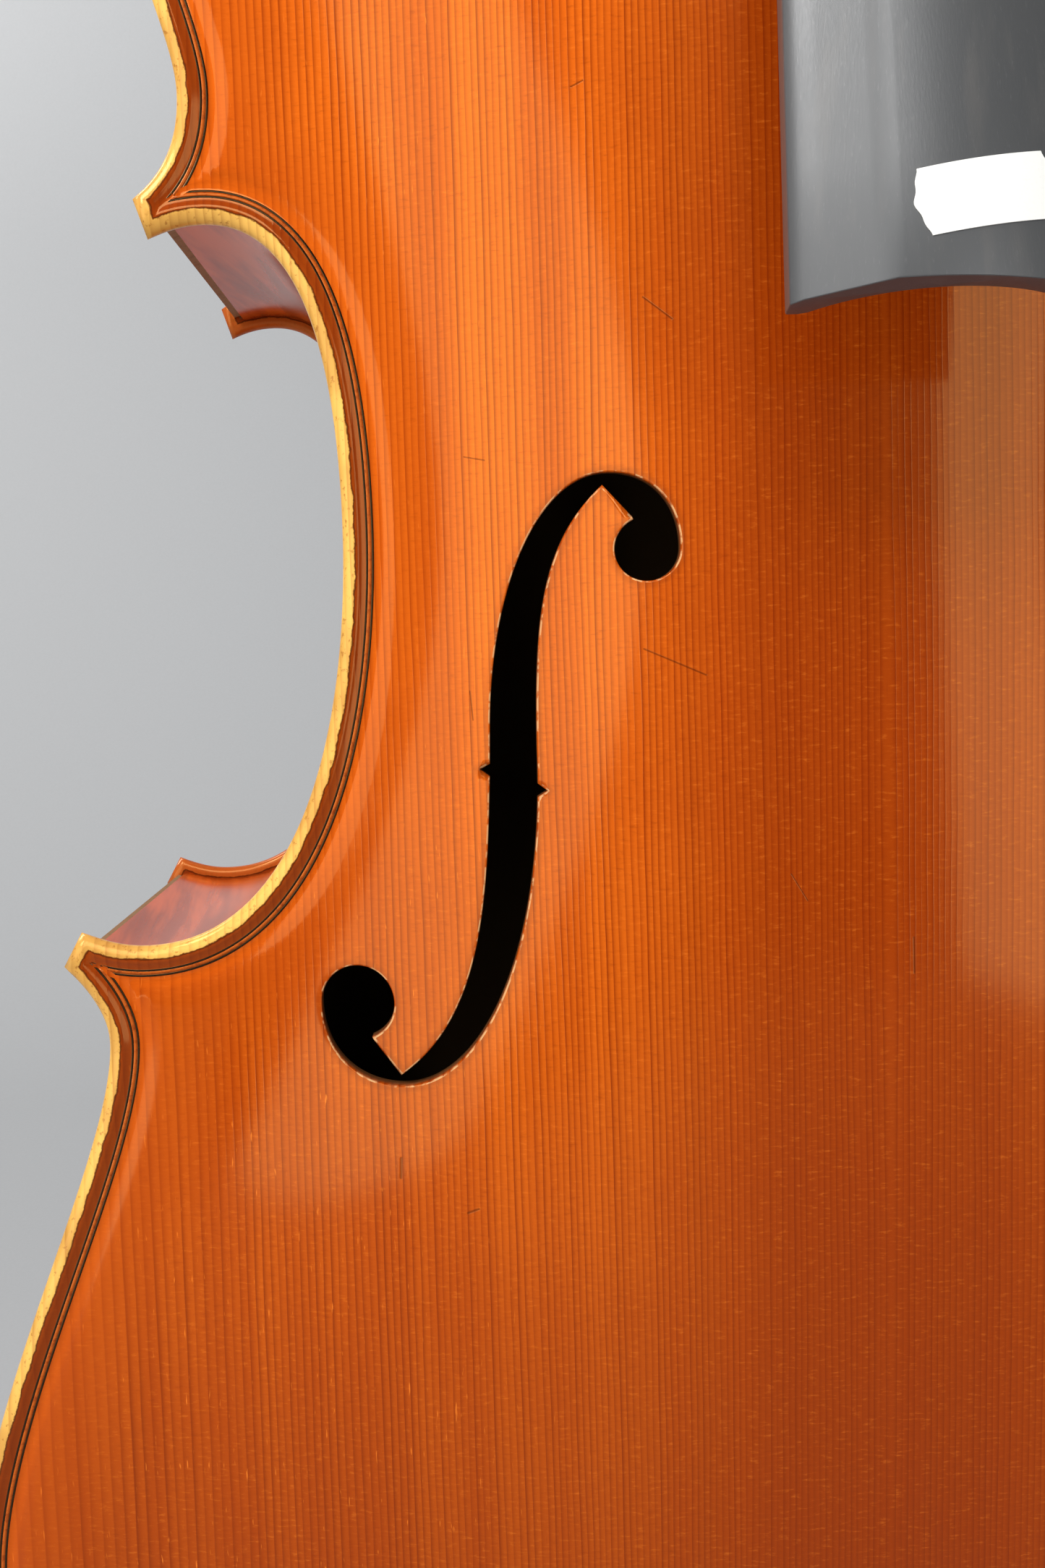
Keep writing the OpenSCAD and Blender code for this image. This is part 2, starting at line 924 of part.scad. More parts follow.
module endpin_thumbscrew() {
  shank_in = rod_bore + 0.15;
  head_x = 15.6;
  color("#b8bac0")
    translate([0, 0, screw_z])
      rotate([0, 90, 0]) {
        translate([0, 0, shank_in]) cylinder(h = head_x - shank_in, r = screw_r, $fn = 32);
        translate([0, 0, head_x]) cylinder(h = 4, r = 5, $fn = 48);
        translate([0, 0, head_x + 4])
          rotate([90, 0, 0])
            linear_extrude(3.2, center = true)
              polygon([
                [-4, -1], [4, -1], [5, 2], [10, 7], [10.5, 11], [8, 13.5], [4, 12], [0, 8],
                [-4, 12], [-8, 13.5], [-10.5, 11], [-10, 7], [-5, 2]
              ]);
      }
}

top_plate_bass();
top_plate_treble();
back_plate_bass();
back_plate_treble();
top_purfling();
back_purfling();
rib_upper_bass();
rib_upper_treble();
rib_centre_bass();
rib_centre_treble();
rib_lower_bass();
rib_lower_treble();
neck_block();
end_block();
corner_block_upper_bass();
corner_block_upper_treble();
corner_block_lower_bass();
corner_block_lower_treble();
lining_front_upper_bass();
lining_front_upper_treble();
lining_front_centre_bass();
lining_front_centre_treble();
lining_front_lower_bass();
lining_front_lower_treble();
lining_back_upper_bass();
lining_back_upper_treble();
lining_back_centre_bass();
lining_back_centre_treble();
lining_back_lower_bass();
lining_back_lower_treble();
bass_bar();
sound_post();
neck();
fingerboard();
nut();
saddle();
peg_c();
peg_g();
peg_d();
peg_a();
endpin_plug();
endpin_ferrule();
endpin_rod();
endpin_spike();
endpin_thumbscrew();
price_label();
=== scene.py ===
"""A full-size cello without strings or bridge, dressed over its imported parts."""
import json
import math

import bpy
import numpy as np
from mathutils import Matrix, Vector
from mathutils.geometry import delaunay_2d_cdt

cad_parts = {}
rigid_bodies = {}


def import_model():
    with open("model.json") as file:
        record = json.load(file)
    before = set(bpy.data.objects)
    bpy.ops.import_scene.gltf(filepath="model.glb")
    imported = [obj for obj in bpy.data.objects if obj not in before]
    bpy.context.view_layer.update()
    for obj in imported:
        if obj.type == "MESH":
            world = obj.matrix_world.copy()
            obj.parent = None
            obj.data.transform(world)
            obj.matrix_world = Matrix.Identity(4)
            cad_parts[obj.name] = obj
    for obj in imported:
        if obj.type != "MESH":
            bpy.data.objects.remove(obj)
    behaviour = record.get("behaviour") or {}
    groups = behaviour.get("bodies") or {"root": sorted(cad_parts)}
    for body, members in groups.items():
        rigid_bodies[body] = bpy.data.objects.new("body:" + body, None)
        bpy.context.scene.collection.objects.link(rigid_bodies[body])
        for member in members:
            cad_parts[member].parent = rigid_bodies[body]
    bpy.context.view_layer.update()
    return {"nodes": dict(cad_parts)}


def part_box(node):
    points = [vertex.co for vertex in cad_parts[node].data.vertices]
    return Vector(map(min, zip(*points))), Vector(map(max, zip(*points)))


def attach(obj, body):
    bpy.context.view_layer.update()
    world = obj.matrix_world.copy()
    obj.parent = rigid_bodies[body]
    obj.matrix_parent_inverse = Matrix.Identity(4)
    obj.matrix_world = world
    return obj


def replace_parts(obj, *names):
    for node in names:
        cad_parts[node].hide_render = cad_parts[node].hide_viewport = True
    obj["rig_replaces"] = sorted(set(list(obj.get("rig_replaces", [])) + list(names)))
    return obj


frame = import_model()

# ---------------------------------------------------------------- dimensions, in millimetres

MM = 0.001
BODY = "cello_body"


def low(node):
    return [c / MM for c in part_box(node)[0]]


def high(node):
    return [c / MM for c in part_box(node)[1]]


BOTTOM = low("back_plate_bass")[2]
EDGE_Y = 63.5
RIB_Y = high("rib_lower_bass")[1]
BODY_LEN = 755.0
BRIDGE_Z = 355.0
ARCH = 24.0
OVERHANG = 3.2
RIB_T = 1.7
PURFLING = (5.4, 5.9, 6.7, 7.2)
NECK_ROOT = 22.2
NECK_DEEP = 12.0
SADDLE_W = 20.0
SADDLE_DEEP = 8.0
BUTTON_R = 17.0
BUTTON_Z = 753.0
BOARD_Y = -128.8
BOARD_Z = 446.6
BOARD_LEN = 588.0
BOARD_TILT = math.radians(10.0)
BOARD_W = (29.3, 15.5)
BOARD_SIDE = 6.2
BOARD_PEAK = (16.9, 9.2)
BOARD_R = 62.0
BOARD_CROWN = -4.0
BOARD_FLAT = 0.42

# Half outline of a plate as curve ends and handles, x from the centre and z from the bottom.
LOWER = [
    ((0, 0), (125, 0), (217, 62), (217, 165)),
    ((217, 165), (217, 205), (177.9, 270), (177.9, 297)),
    ((177.9, 297), (177.9, 304), (183.3, 311), (187.5, 315)),
]
CENTRE = [
    ((183, 323), (176, 320), (172, 319.4), (168, 319.4)),
    ((168, 319.4), (133.3, 319.4), (118.4, 366), (118.4, 416)),
    ((118.4, 416), (118.4, 460.4), (127.8, 482.5), (146.5, 482.5)),
    ((146.5, 482.5), (151, 482.5), (155, 481.5), (159.1, 479.6)),
]
UPPER = [
    ((162, 488.4), (154, 494), (151, 502), (151, 511)),
    ((151, 511), (151, 528), (171, 560), (171, 625)),
    ((171, 625), (171, 700), (105, 755), (0, 755)),
]
# Sound hole, x from the centre and z from the bridge line.
HOLE_OUTER = [
    ((43.7, 52), (43.7, 62), (50, 68.7), (59.5, 68.7)),
    ((59.5, 68.7), (74, 68.7), (85.5, 44), (86.3, 12)),
    ((86.3, 12), (87.6, -25), (89.5, -52), (109.3, -66)),
]
HOLE_INNER = [
    ((127.4, -50), (127.4, -61), (120, -68.4), (109.4, -68.4)),
    ((109.4, -68.4), (90, -68.4), (75.5, -36), (75.9, 8)),
    ((75.9, 8), (75.5, 36), (74, 54), (60, 66)),
]
OUTER_NICK = (88.9, 3.8)
INNER_NICK = (73.8, -1.0)
NICK = 0.8

# Fingerboard underside and its small edges.
SCOOP_DEEP = 11.5
SCOOP_LEN = 275.0
SCOOP_R = 34.7
BOARD_THINS = 0.8

# Blank sticker: its middle on the board, half length, half height, turn and thickness.
LABEL_X = 4.6
LABEL_S = 15.4
LABEL_REACH = 12.8
LABEL_HALF = 6.2
LABEL_TURN = math.radians(10)
LABEL_T = 0.22
LABEL_LIFT = 0.26

# Pegbox: half width outside at the nut end, its narrowing, and where it starts and ends.
PEGBOX_HALF = 21
PEGBOX_NARROWS = 6.5
PEGBOX_START = 4
PEGBOX_LEN = 118
PEG_TAPER = 0.029
STRING_HOLE_R = 1.2


# ---------------------------------------------------------------- curves

def along(curves, step):
    """Points along a chain of cubic curves, about step apart."""
    points = [np.array(curves[0][0], float)]
    for a, b, c, d in (np.array(k, float) for k in curves):
        size = np.linalg.norm(b - a) + np.linalg.norm(c - b) + np.linalg.norm(d - c)
        n = max(3, int(size / step))
        for t in np.arange(1, n + 1) / n:
            u = 1 - t
            points.append(u**3 * a + 3 * u * u * t * b + 3 * u * t * t * c + t**3 * d)
    return np.array(points)


def arc(x, z, r, start, end, n):
    turn = np.radians(np.linspace(start, end, n))
    return np.stack([x + r * np.cos(turn), z + r * np.sin(turn)], axis=1)


def inset(points, d):
    """The curve moved to the left of its own direction by d."""
    way = np.gradient(points, axis=0)
    way /= np.linalg.norm(way, axis=1)[:, None]
    return points + d * np.stack([-way[:, 1], way[:, 0]], axis=1)


def gap_to(points, line, closed=False):
    """Distance of each point from a line of straight stretches."""
    a, b = line, np.roll(line, -1, axis=0)
    if not closed:
        a, b = a[:-1], b[:-1]
    run = b - a
    size = np.maximum((run * run).sum(1), 1e-12)
    out = np.empty(len(points))
    for i in range(0, len(points), 1500):
        q = points[i:i + 1500, None, :] - a[None]
        t = np.clip((q * run).sum(2) / size, 0, 1)
        out[i:i + 1500] = np.sqrt(((q - t[..., None] * run) ** 2).sum(2).min(1))
    return out


def within(points, loop):
    """True for each point inside a closed loop."""
    a, b = loop, np.roll(loop, -1, axis=0)
    out = np.empty(len(points), bool)
    for i in range(0, len(points), 3000):
        px, pz = points[i:i + 3000, :1], points[i:i + 3000, 1:]
        spans = (a[:, 1] > pz) != (b[:, 1] > pz)
        rise_z = np.where(b[:, 1] == a[:, 1], 1e-9, b[:, 1] - a[:, 1])
        crossing = a[:, 0] + (pz - a[:, 1]) / rise_z * (b[:, 0] - a[:, 0])
        out[i:i + 3000] = (spans & (px < crossing)).sum(1) % 2 == 1
    return out


def with_nick(line, tip):
    """The hole's side with its small pointed notch cut in."""
    near = (np.abs(line[:, 1] - tip[1]) < NICK) & (np.abs(line[:, 0] - tip[0]) < 6)
    first, last = np.nonzero(near)[0][[0, -1]]
    return np.concatenate([line[:first], [tip], line[last + 1:]])


def sound_hole():
    """The edge of the treble hole, with its two eyes."""
    loop = np.concatenate([
        with_nick(along(HOLE_OUTER, 0.8), OUTER_NICK), [[115.6, -58]],
        arc(118.9, -49.6, 8.5, 248.6, -2, 46),
        with_nick(along(HOLE_INNER, 0.8)[1:], INNER_NICK), [[53.8, 58.8]],
        arc(50.7, 51.8, 7.0, 66.1, -179, 38),
    ])
    loop[:, 1] += BRIDGE_Z
    return loop


HOLE = sound_hole()
BOUTS = [along(c, 1.6) for c in (LOWER, CENTRE, UPPER)]
HALF_EDGE = np.concatenate(BOUTS)
BUTTON = arc(0, BUTTON_Z, BUTTON_R, 5.4, 90, 20)
BACK_EDGE = np.concatenate([HALF_EDGE[(HALF_EDGE[:, 0] > 17.6) | (HALF_EDGE[:, 1] < 100)], BUTTON])


def ease(t):
    t = np.clip(t, 0, 1)
    return t * t * (3 - 2 * t)


def oval_end(k):
    return np.clip(1 - np.clip(k, 0, 1) ** 2.2, 0, None) ** (1 / 2.2)


def arch_width(z):
    """Half width of the arched part of a plate."""
    low_w, mid_w, high_w = 208, 109.5, 162
    return np.select(
        [z < 165, z < 416, z < 625],
        [low_w * oval_end((165 - z) / 156), low_w + (mid_w - low_w) * ease((z - 165) / 251),
         mid_w + (high_w - mid_w) * ease((z - 416) / 209)],
        high_w * oval_end((z - 625) / (BODY_LEN - 9 - 625)))


def rise(x, z):
    """Height of the arch over the flat edge."""
    u = np.clip(np.abs(x) / np.maximum(arch_width(z), 0.1), 0, 1)
    long_arch = 1 - np.clip(np.abs(z - BODY_LEN / 2) / (BODY_LEN / 2 - 7), 0, 1) ** 2.8
    return ARCH * long_arch * np.cos(math.pi / 2 * u ** 1.4) ** 2


def roll(d, r):
    return np.where(d < r, r - np.sqrt(np.clip(r * r - (r - d) ** 2, 0, None)), 0)


def outer_height(x, z, edge, hole):
    """Outside of a plate over the ribs: arch, raised rim, channel and rounded edges."""
    rim = 0.55 * np.exp(-((edge - 3.1) / 1.2) ** 2)
    channel = -0.95 * np.exp(-((edge - 8.0) / 2.8) ** 2)
    return EDGE_Y - RIB_Y + rise(x, z) + rim + channel - roll(edge, 2.15) - roll(hole, 0.45)


def inner_height(x, z, edge, hole):
    return rise(x, z) + roll(edge, 2.15) + roll(hole, 0.3)


# ---------------------------------------------------------------- ways of working

def new_piece(name, points, faces, edges=()):
    mesh = bpy.data.meshes.new(name)
    places = (np.asarray(points, float) * MM).tolist()
    mesh.from_pydata(places, list(edges), [list(map(int, f)) for f in faces])
    obj = bpy.data.objects.new(name, mesh)
    bpy.context.collection.objects.link(obj)
    mesh.polygons.foreach_set("use_smooth", [True] * len(mesh.polygons))
    return obj


def alone(obj):
    bpy.ops.object.select_all(action="DESELECT")
    obj.select_set(True)
    bpy.context.view_layer.objects.active = obj
    return obj


def apply_modifier(obj, kind, **settings):
    alone(obj)
    mod = obj.modifiers.new(kind.title(), kind)
    for key, value in settings.items():
        setattr(mod, key, value)
    bpy.ops.object.modifier_apply(modifier=mod.name)
    return obj


def edit(obj, *steps):
    """Runs edit-mode steps, each a function, on everything selected."""
    alone(obj)
    bpy.ops.object.mode_set(mode="EDIT")
    bpy.ops.mesh.select_all(action="SELECT")
    for step in steps:
        step()
    bpy.ops.object.mode_set(mode="OBJECT")
    return obj


def merge():
    bpy.ops.mesh.remove_doubles(threshold=0.002 * MM)


def face_out():
    bpy.ops.mesh.normals_make_consistent(inside=False)


def smooth_by_angle(obj, degrees=35):
    alone(obj)
    bpy.ops.object.shade_smooth_by_angle(angle=math.radians(degrees))
    return obj


def eased(obj, width=0.4, segments=3, degrees=35):
    """Small rounds on the sharp edges."""
    apply_modifier(
        obj, "BEVEL", width=width * MM, segments=segments,
        limit_method="ANGLE", angle_limit=math.radians(degrees))
    return smooth_by_angle(obj, degrees)


def put(obj, matrix):
    """Moves a piece into place and keeps the place in its mesh."""
    alone(obj)
    obj.matrix_world = matrix
    bpy.context.view_layer.update()
    bpy.ops.object.transform_apply(location=True, rotation=True, scale=True)
    return obj


def move(x, y, z):
    return Matrix.Translation(Vector((x, y, z)) * MM)


def skin(name, rows):
    """Closed skin over rings of equal point counts."""
    m = len(rows[0])
    faces = [
        (j * m + k, j * m + (k + 1) % m, (j + 1) * m + (k + 1) % m, (j + 1) * m + k)
        for j in range(len(rows) - 1) for k in range(m)]
    faces.append(tuple(range(m))[::-1])
    faces.append(tuple((len(rows) - 1) * m + k for k in range(m)))
    return edit(new_piece(name, np.concatenate(rows), faces), merge, face_out)


def turned(name, profile, steps=72):
    """A closed profile of radius and height, spun about the upright axis."""
    points = [(r, 0, h) for r, h in profile]
    n = len(points)
    obj = new_piece(name, points, [], [(k, (k + 1) % n) for k in range(n)])
    edit(
        obj,
        lambda: bpy.ops.mesh.spin(steps=steps, angle=2 * math.pi, center=(0, 0, 0), axis=(0, 0, 1)),
        lambda: bpy.ops.mesh.select_all(action="SELECT"), merge, face_out)
    return obj


def drawn_out(name, outline, length, axis=(1, 0, 0)):
    """A flat outline extruded into a solid of the given length."""
    obj = new_piece(name, outline, [range(len(outline))])
    way = Vector(axis) * length * MM
    edit(
        obj,
        lambda: bpy.ops.mesh.extrude_region_move(TRANSFORM_OT_translate={"value": way}),
        lambda: bpy.ops.mesh.select_all(action="SELECT"), face_out)
    return obj


def copy_of(node, name):
    """A merged copy of a part's own shape."""
    obj = bpy.data.objects.new(name, frame["nodes"][node].data.copy())
    bpy.context.collection.objects.link(obj)
    obj.data.materials.clear()
    alone(obj)
    bpy.ops.mesh.customdata_custom_splitnormals_clear()
    return edit(obj, merge, face_out)


def carved(node, name, voxel, rounds):
    """A close skin over a part, eased as a knife and scraper leave it."""
    obj = copy_of(node, name)
    apply_modifier(obj, "REMESH", mode="VOXEL", voxel_size=voxel * MM, use_smooth_shade=True)
    apply_modifier(obj, "SMOOTH", factor=0.5, iterations=rounds)
    obj.data.polygons.foreach_set("use_smooth", [True] * len(obj.data.polygons))
    return obj


def settle(obj, nodes, finish, body=BODY):
    """Puts a finished piece on its body, in place of its parts."""
    if not obj.data.materials:
        obj.data.materials.append(finish.material)
    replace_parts(obj, *nodes)
    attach(obj, body)
    return obj


# ---------------------------------------------------------------- finishes

class Wire:
    """A value on its way through a finish. Sums on it add Math nodes."""

    def __init__(self, finish, socket):
        self.finish = finish
        self.socket = socket

    def maths(self, operation, *values):
        return self.finish.node("ShaderNodeMath", {"operation": operation}, dict(enumerate(values)))

    def __add__(self, other):
        return self.maths("ADD", self, other)

    def __sub__(self, other):
        return self.maths("SUBTRACT", self, other)

    def __rsub__(self, other):
        return self.maths("SUBTRACT", other, self)

    def __mul__(self, other):
        return self.maths("MULTIPLY", self, other)

    def __pow__(self, other):
        return self.maths("POWER", self, other)

    __radd__ = __add__
    __rmul__ = __mul__

    def size(self):
        return self.maths("ABSOLUTE", self)

    def floor(self):
        return self.maths("FLOOR", self)

    def fraction(self):
        return self.maths("FRACT", self)

    def most(self, other):
        return self.maths("MAXIMUM", self, other)

    def least(self, other):
        return self.maths("MINIMUM", self, other)

    def step(self, start, end):
        """0 before start and 1 after end, smooth between them."""
        return self.finish.node(
            "ShaderNodeMapRange", {"interpolation_type": "SMOOTHSTEP"}, {0: self, 1: start, 2: end})

    def output(self, index):
        return Wire(self.finish, self.socket.node.outputs[index])


class Finish:
    """A material in the making."""

    def __init__(self, name, constants):
        self.material = bpy.data.materials.new(name)
        self.material.use_nodes = True
        self.tree = self.material.node_tree
        self.shader = self.tree.nodes["Principled BSDF"]
        for key, value in constants.items():
            self.feed(self.shader.inputs[key], value)

    def feed(self, socket, value):
        if isinstance(value, Wire):
            self.tree.links.new(value.socket, socket)
        else:
            socket.default_value = value

    def node(self, kind, settings, inputs, out=0):
        made = self.tree.nodes.new(kind)
        for key, value in settings.items():
            setattr(made, key, value)
        for key, value in inputs.items():
            self.feed(made.inputs[key], value)
        return Wire(self, made.outputs[out])

    def place(self):
        """Where the surface is, in millimetres."""
        spot = self.node("ShaderNodeTexCoord", {}, {}, 3)
        return self.node("ShaderNodeVectorMath", {"operation": "SCALE"}, {0: spot, "Scale": 1 / MM})

    def split(self, vector):
        first = self.node("ShaderNodeSeparateXYZ", {}, {0: vector})
        return first, first.output(1), first.output(2)

    def join(self, x=0.0, y=0.0, z=0.0):
        return self.node("ShaderNodeCombineXYZ", {}, {0: x, 1: y, 2: z})

    def stretch(self, vector, x, y, z):
        return self.node("ShaderNodeVectorMath", {"operation": "MULTIPLY"}, {0: vector, 1: (x, y, z)})

    def noise(self, vector, size, detail=2.0, rough=0.5):
        return self.node(
            "ShaderNodeTexNoise", {},
            {"Vector": vector, "Scale": 1 / size, "Detail": detail, "Roughness": rough})

    def cells(self, vector, size):
        """Distance from the nearest of many scattered points."""
        return self.node("ShaderNodeTexVoronoi", {}, {"Vector": vector, "Scale": 1 / size}) * size

    def chance(self, number):
        return self.node("ShaderNodeTexWhiteNoise", {"noise_dimensions": "1D"}, {"W": number})

    def store(self, name):
        return self.node("ShaderNodeAttribute", {"attribute_name": name}, {}, 2)

    def beside(self, x, z, start, end):
        """Distance from a short straight mark on the face."""
        dx, dz = end[0] - start[0], end[1] - start[1]
        size = dx * dx + dz * dz
        from_x, from_z = x - start[0], z - start[1]
        share = (from_x * (dx / size) + from_z * (dz / size)).most(0.0).least(1.0)
        off_x, off_z = from_x - share * dx, from_z - share * dz
        return (off_x * off_x + off_z * off_z) ** 0.5

    def blend(self, a, b, share):
        return self.node(
            "ShaderNodeMix", {"data_type": "RGBA", "blend_type": "MIX", "clamp_factor": True},
            {0: share, 6: a, 7: b}, 2)

    def relief(self, height):
        """Surface relief from a height in millimetres."""
        return self.node("ShaderNodeBump", {}, {"Strength": 1.0, "Distance": MM, "Height": height})

    def done(self, colour, rough, normal=None):
        self.feed(self.shader.inputs["Base Color"], colour)
        self.feed(self.shader.inputs["Roughness"], rough)
        if normal is not None:
            self.feed(self.shader.inputs["Normal"], normal)
        return self


def rgb(r, g, b):
    return (r, g, b, 1.0)


VARNISH = {"IOR": 1.5, "Specular Tint": rgb(1.0, 0.60, 0.22)}
LIGHT_SPRUCE = rgb(0.72, 0.135, 0.007)
RED_SPRUCE = rgb(0.47, 0.064, 0.003)
PALE_SPRUCE = rgb(0.86, 0.21, 0.020)
MIDDLE_SPRUCE = rgb(0.25, 0.024, 0.001)
DARK_RING = rgb(0.20, 0.018, 0.001)
DEEP_VARNISH = rgb(0.15, 0.016, 0.002)
WORN_EDGE = rgb(0.82, 0.46, 0.10)
WORN_STREAK = rgb(0.28, 0.07, 0.008)
OLD_WOOD = rgb(0.085, 0.045, 0.020)
PALE_WOOD = rgb(0.78, 0.52, 0.24)


def edge_wear(f, p, colour, rough, edge, grain, worn):
    """Worn yellow rim, dirt line, brown gutter and a brighter band inside the purfling."""
    ragged = (f.noise(p, 4.5, 4, 0.7) - 0.5) * 1.7
    rim = (edge + ragged).step(3.0, 2.6)
    streak = f.noise(p, 1.3, 3, 0.6).step(0.56, 0.70)
    fade = f.noise(p, 30, 3, 0.6).step(0.40, 0.62)
    dirt = (edge + ragged - 2.9).size().step(0.34, 0.05)
    gutter = edge.step(6.3, 5.0)
    glow = (edge - 8.6).size().step(2.2, 0.4)
    colour = f.blend(colour, rgb(0.80, 0.125, 0.004), glow * 0.18)
    colour = f.blend(colour, DEEP_VARNISH, gutter * 0.66)
    bare = f.blend(worn, f.blend(worn, WORN_STREAK, 0.35), fade)
    bare = f.blend(bare, WORN_STREAK, streak.most(grain) * 0.62)
    colour = f.blend(colour, bare, rim)
    colour = f.blend(colour, rgb(0.06, 0.010, 0.002), dirt * 0.8)
    return colour, rough + rim * 0.08


# Small scratches and dents on the front: ends as x and z, and half width.
MARKS = [
    ((-50.5, 522.0), (-44.5, 517.0), 0.30), ((-52.0, 447.0), (-39.0, 441.0), 0.28),
    ((-110.0, 332.0), (-110.2, 327.5), 0.45), ((-95.0, 320.0), (-92.5, 321.0), 0.40),
    ((5.3, 382.0), (5.4, 374.0), 0.28), ((-62.0, 567.5), (-64.5, 566.5), 0.30),
    ((-21.5, 397.0), (-18.0, 391.0), 0.20), ((-90.5, 438.5), (-90.0, 432.0), 0.22),
    ((-90.0, 491.0), (-85.5, 490.0), 0.24), ((86.0, 300.0), (92.0, 292.0), 0.28),
    ((120.0, 640.0), (118.0, 633.0), 0.26)]
RING = 1.38
RING_WIDENS = 3.5e-6


def varnished_spruce():
    """Quarter-sawn spruce under red-orange varnish, both halves from one wedge."""
    f = Finish("varnished_spruce", VARNISH)
    p = f.place()
    x, _, z = f.split(p)
    flat = f.stretch(p, 1, 0, 1)
    drift = (f.noise(f.stretch(p, 1, 0, 0.10), 28, 2) - 0.5) * 3.4
    drift = drift + (f.noise(f.stretch(p, 1, 0, 0.16), 4.5, 2) - 0.5) * 0.55
    across = (x.size() + drift).most(0.0)
    ring = across * (1 / RING) - (across ** 3) * RING_WIDENS
    part = ring.fraction()
    strength = f.chance(ring.floor()) * 0.65 + 0.45
    late = (part ** 2.6) * part.step(1.0, 0.86) * strength
    soft = (part ** 1.4) * part.step(1.0, 0.9)
    fibre = f.noise(f.stretch(p, 1, 0, 0.035), 0.42, 3, 0.6)
    silk = f.noise(f.stretch(p, 0.30, 0, 1.3), 1.0, 3, 0.65)
    fleck = f.noise(f.stretch(p, 1, 0, 0.16), 0.9, 2, 0.5).step(0.66, 0.76)
    band = f.noise(f.stretch(p, 1, 0, 0.03), 13, 3, 0.55)
    cloud = f.noise(flat, 90, 3, 0.5)
    colour = f.blend(LIGHT_SPRUCE, RED_SPRUCE, band.step(0.40, 0.66) * 0.55 + soft * 0.35)
    colour = f.blend(colour, RED_SPRUCE, cloud.step(0.46, 0.70) * 0.62)
    colour = f.blend(colour, MIDDLE_SPRUCE, (x.size() + (band - 0.5) * 50).step(66, 18) * 0.78)
    # Painted shade: the belly's colour darkens towards its lower end, standing in for the lamps' fall-off
    # there.
    colour = f.blend(colour, MIDDLE_SPRUCE, z.step(BOTTOM + 400, BOTTOM + 150) * 0.72)
    colour = f.blend(colour, PALE_SPRUCE, (silk - 0.5).step(0.02, 0.30) * 0.34)
    colour = f.blend(colour, DARK_RING, (0.5 - silk).step(0.02, 0.28) * 0.36)
    colour = f.blend(colour, DARK_RING, late * 1.15)
    colour = f.blend(colour, DARK_RING, fibre.step(0.58, 0.78) * 0.22)
    colour = f.blend(colour, PALE_SPRUCE, fleck * x.size().step(55, 115) * 0.62)
    pit = f.cells(f.stretch(p, 1, 0, 0.30), 60).step(0.50, 0.22)
    scratch = 0.0
    for start, end, wide in MARKS:
        scratch = f.beside(x, z, start, end).step(wide, wide * 0.3).most(scratch)
    colour = f.blend(colour, rgb(0.07, 0.009, 0.001), (pit * 0.7).most(scratch * 0.6))
    edge = f.store("edge")
    hole = f.store("hole")
    rough = 0.085 + fibre * 0.05
    colour = f.blend(colour, DEEP_VARNISH, hole.step(2.2, 0.6) * 0.30)
    colour = f.blend(colour, RED_SPRUCE, edge.step(34, 12) * 0.45)
    colour, rough = edge_wear(f, p, colour, rough, edge, late, WORN_EDGE)
    chip = f.noise(p, 3.2, 3, 0.6).step(0.44, 0.56)
    colour = f.blend(colour, PALE_WOOD, (hole - 0.22).size().step(0.26, 0.10) * chip * 0.55)
    inside = f.store("inside")
    under = inside * edge.step(3.6, 4.6)
    colour = f.blend(colour, OLD_WOOD, under)
    colour = f.blend(colour, rgb(0.10, 0.035, 0.010), hole.step(0.12, 0.02) * inside)
    rough = rough + under * 0.5
    height = late * 0.010 + (fibre - 0.5) * 0.004 - pit * 0.12 - scratch * 0.03
    return f.done(colour, rough, f.relief(height))


def flamed_maple(light, dark, flame, p, f, grain_stretch=(1, 1, 0.04)):
    """Maple whose rippled fibres show as bands of light and dark."""
    band = flame.step(0.36, 0.64)
    pore = f.noise(f.stretch(p, *grain_stretch), 0.5, 3, 0.6)
    tone = f.noise(p, 60, 2)
    colour = f.blend(light, dark, band * 0.72)
    colour = f.blend(colour, DEEP_VARNISH, tone.step(0.5, 0.8) * 0.35)
    colour = f.blend(colour, rgb(0.06, 0.012, 0.003), pore.step(0.62, 0.80) * 0.35)
    return colour, pore


MAPLE_LIGHT = rgb(0.48, 0.085, 0.010)
MAPLE_DARK = rgb(0.20, 0.024, 0.003)


def varnished_back():
    f = Finish("varnished_maple_back", VARNISH)
    p = f.place()
    x, _, z = f.split(p)
    slope = z + x.size() * 0.22
    flame = f.noise(f.join(x * 0.10, 0.0, slope), 6.5, 3, 0.55)
    colour, pore = flamed_maple(MAPLE_LIGHT, MAPLE_DARK, flame, p, f)
    edge = f.store("edge")
    rough = 0.10 + pore * 0.05
    colour, rough = edge_wear(f, p, colour, rough, edge, pore.step(0.5, 0.8), rgb(0.42, 0.085, 0.012))
    inside = f.store("inside") * edge.step(3.6, 4.6)
    colour = f.blend(colour, OLD_WOOD, inside)
    return f.done(colour, rough + inside * 0.5, f.relief(flame * 0.03 + pore * 0.006))


def varnished_ribs():
    f = Finish("varnished_maple_ribs", {"IOR": 1.4, "Specular Tint": rgb(0.85, 0.45, 0.20)})
    bend = f.node("ShaderNodeUVMap", {"uv_map": "bend"}, {})
    u, v, _ = f.split(bend)
    flame = f.noise(f.join(u + v * 0.12, v * 0.08, 0.0), 6.0, 3, 0.55)
    colour, pore = flamed_maple(
        rgb(0.64, 0.100, 0.008), rgb(0.26, 0.028, 0.003), flame, f.join(u, v, 0.0), f, (0.04, 1, 1))
    # Darker over the 9 mm of rib next to each plate.
    near_plates = v.size().step(RIB_Y - 9, RIB_Y)
    colour = f.blend(colour, DEEP_VARNISH, near_plates * 0.5)
    return f.done(colour, 0.11 + pore * 0.06, f.relief(flame * 0.03 + pore * 0.006))


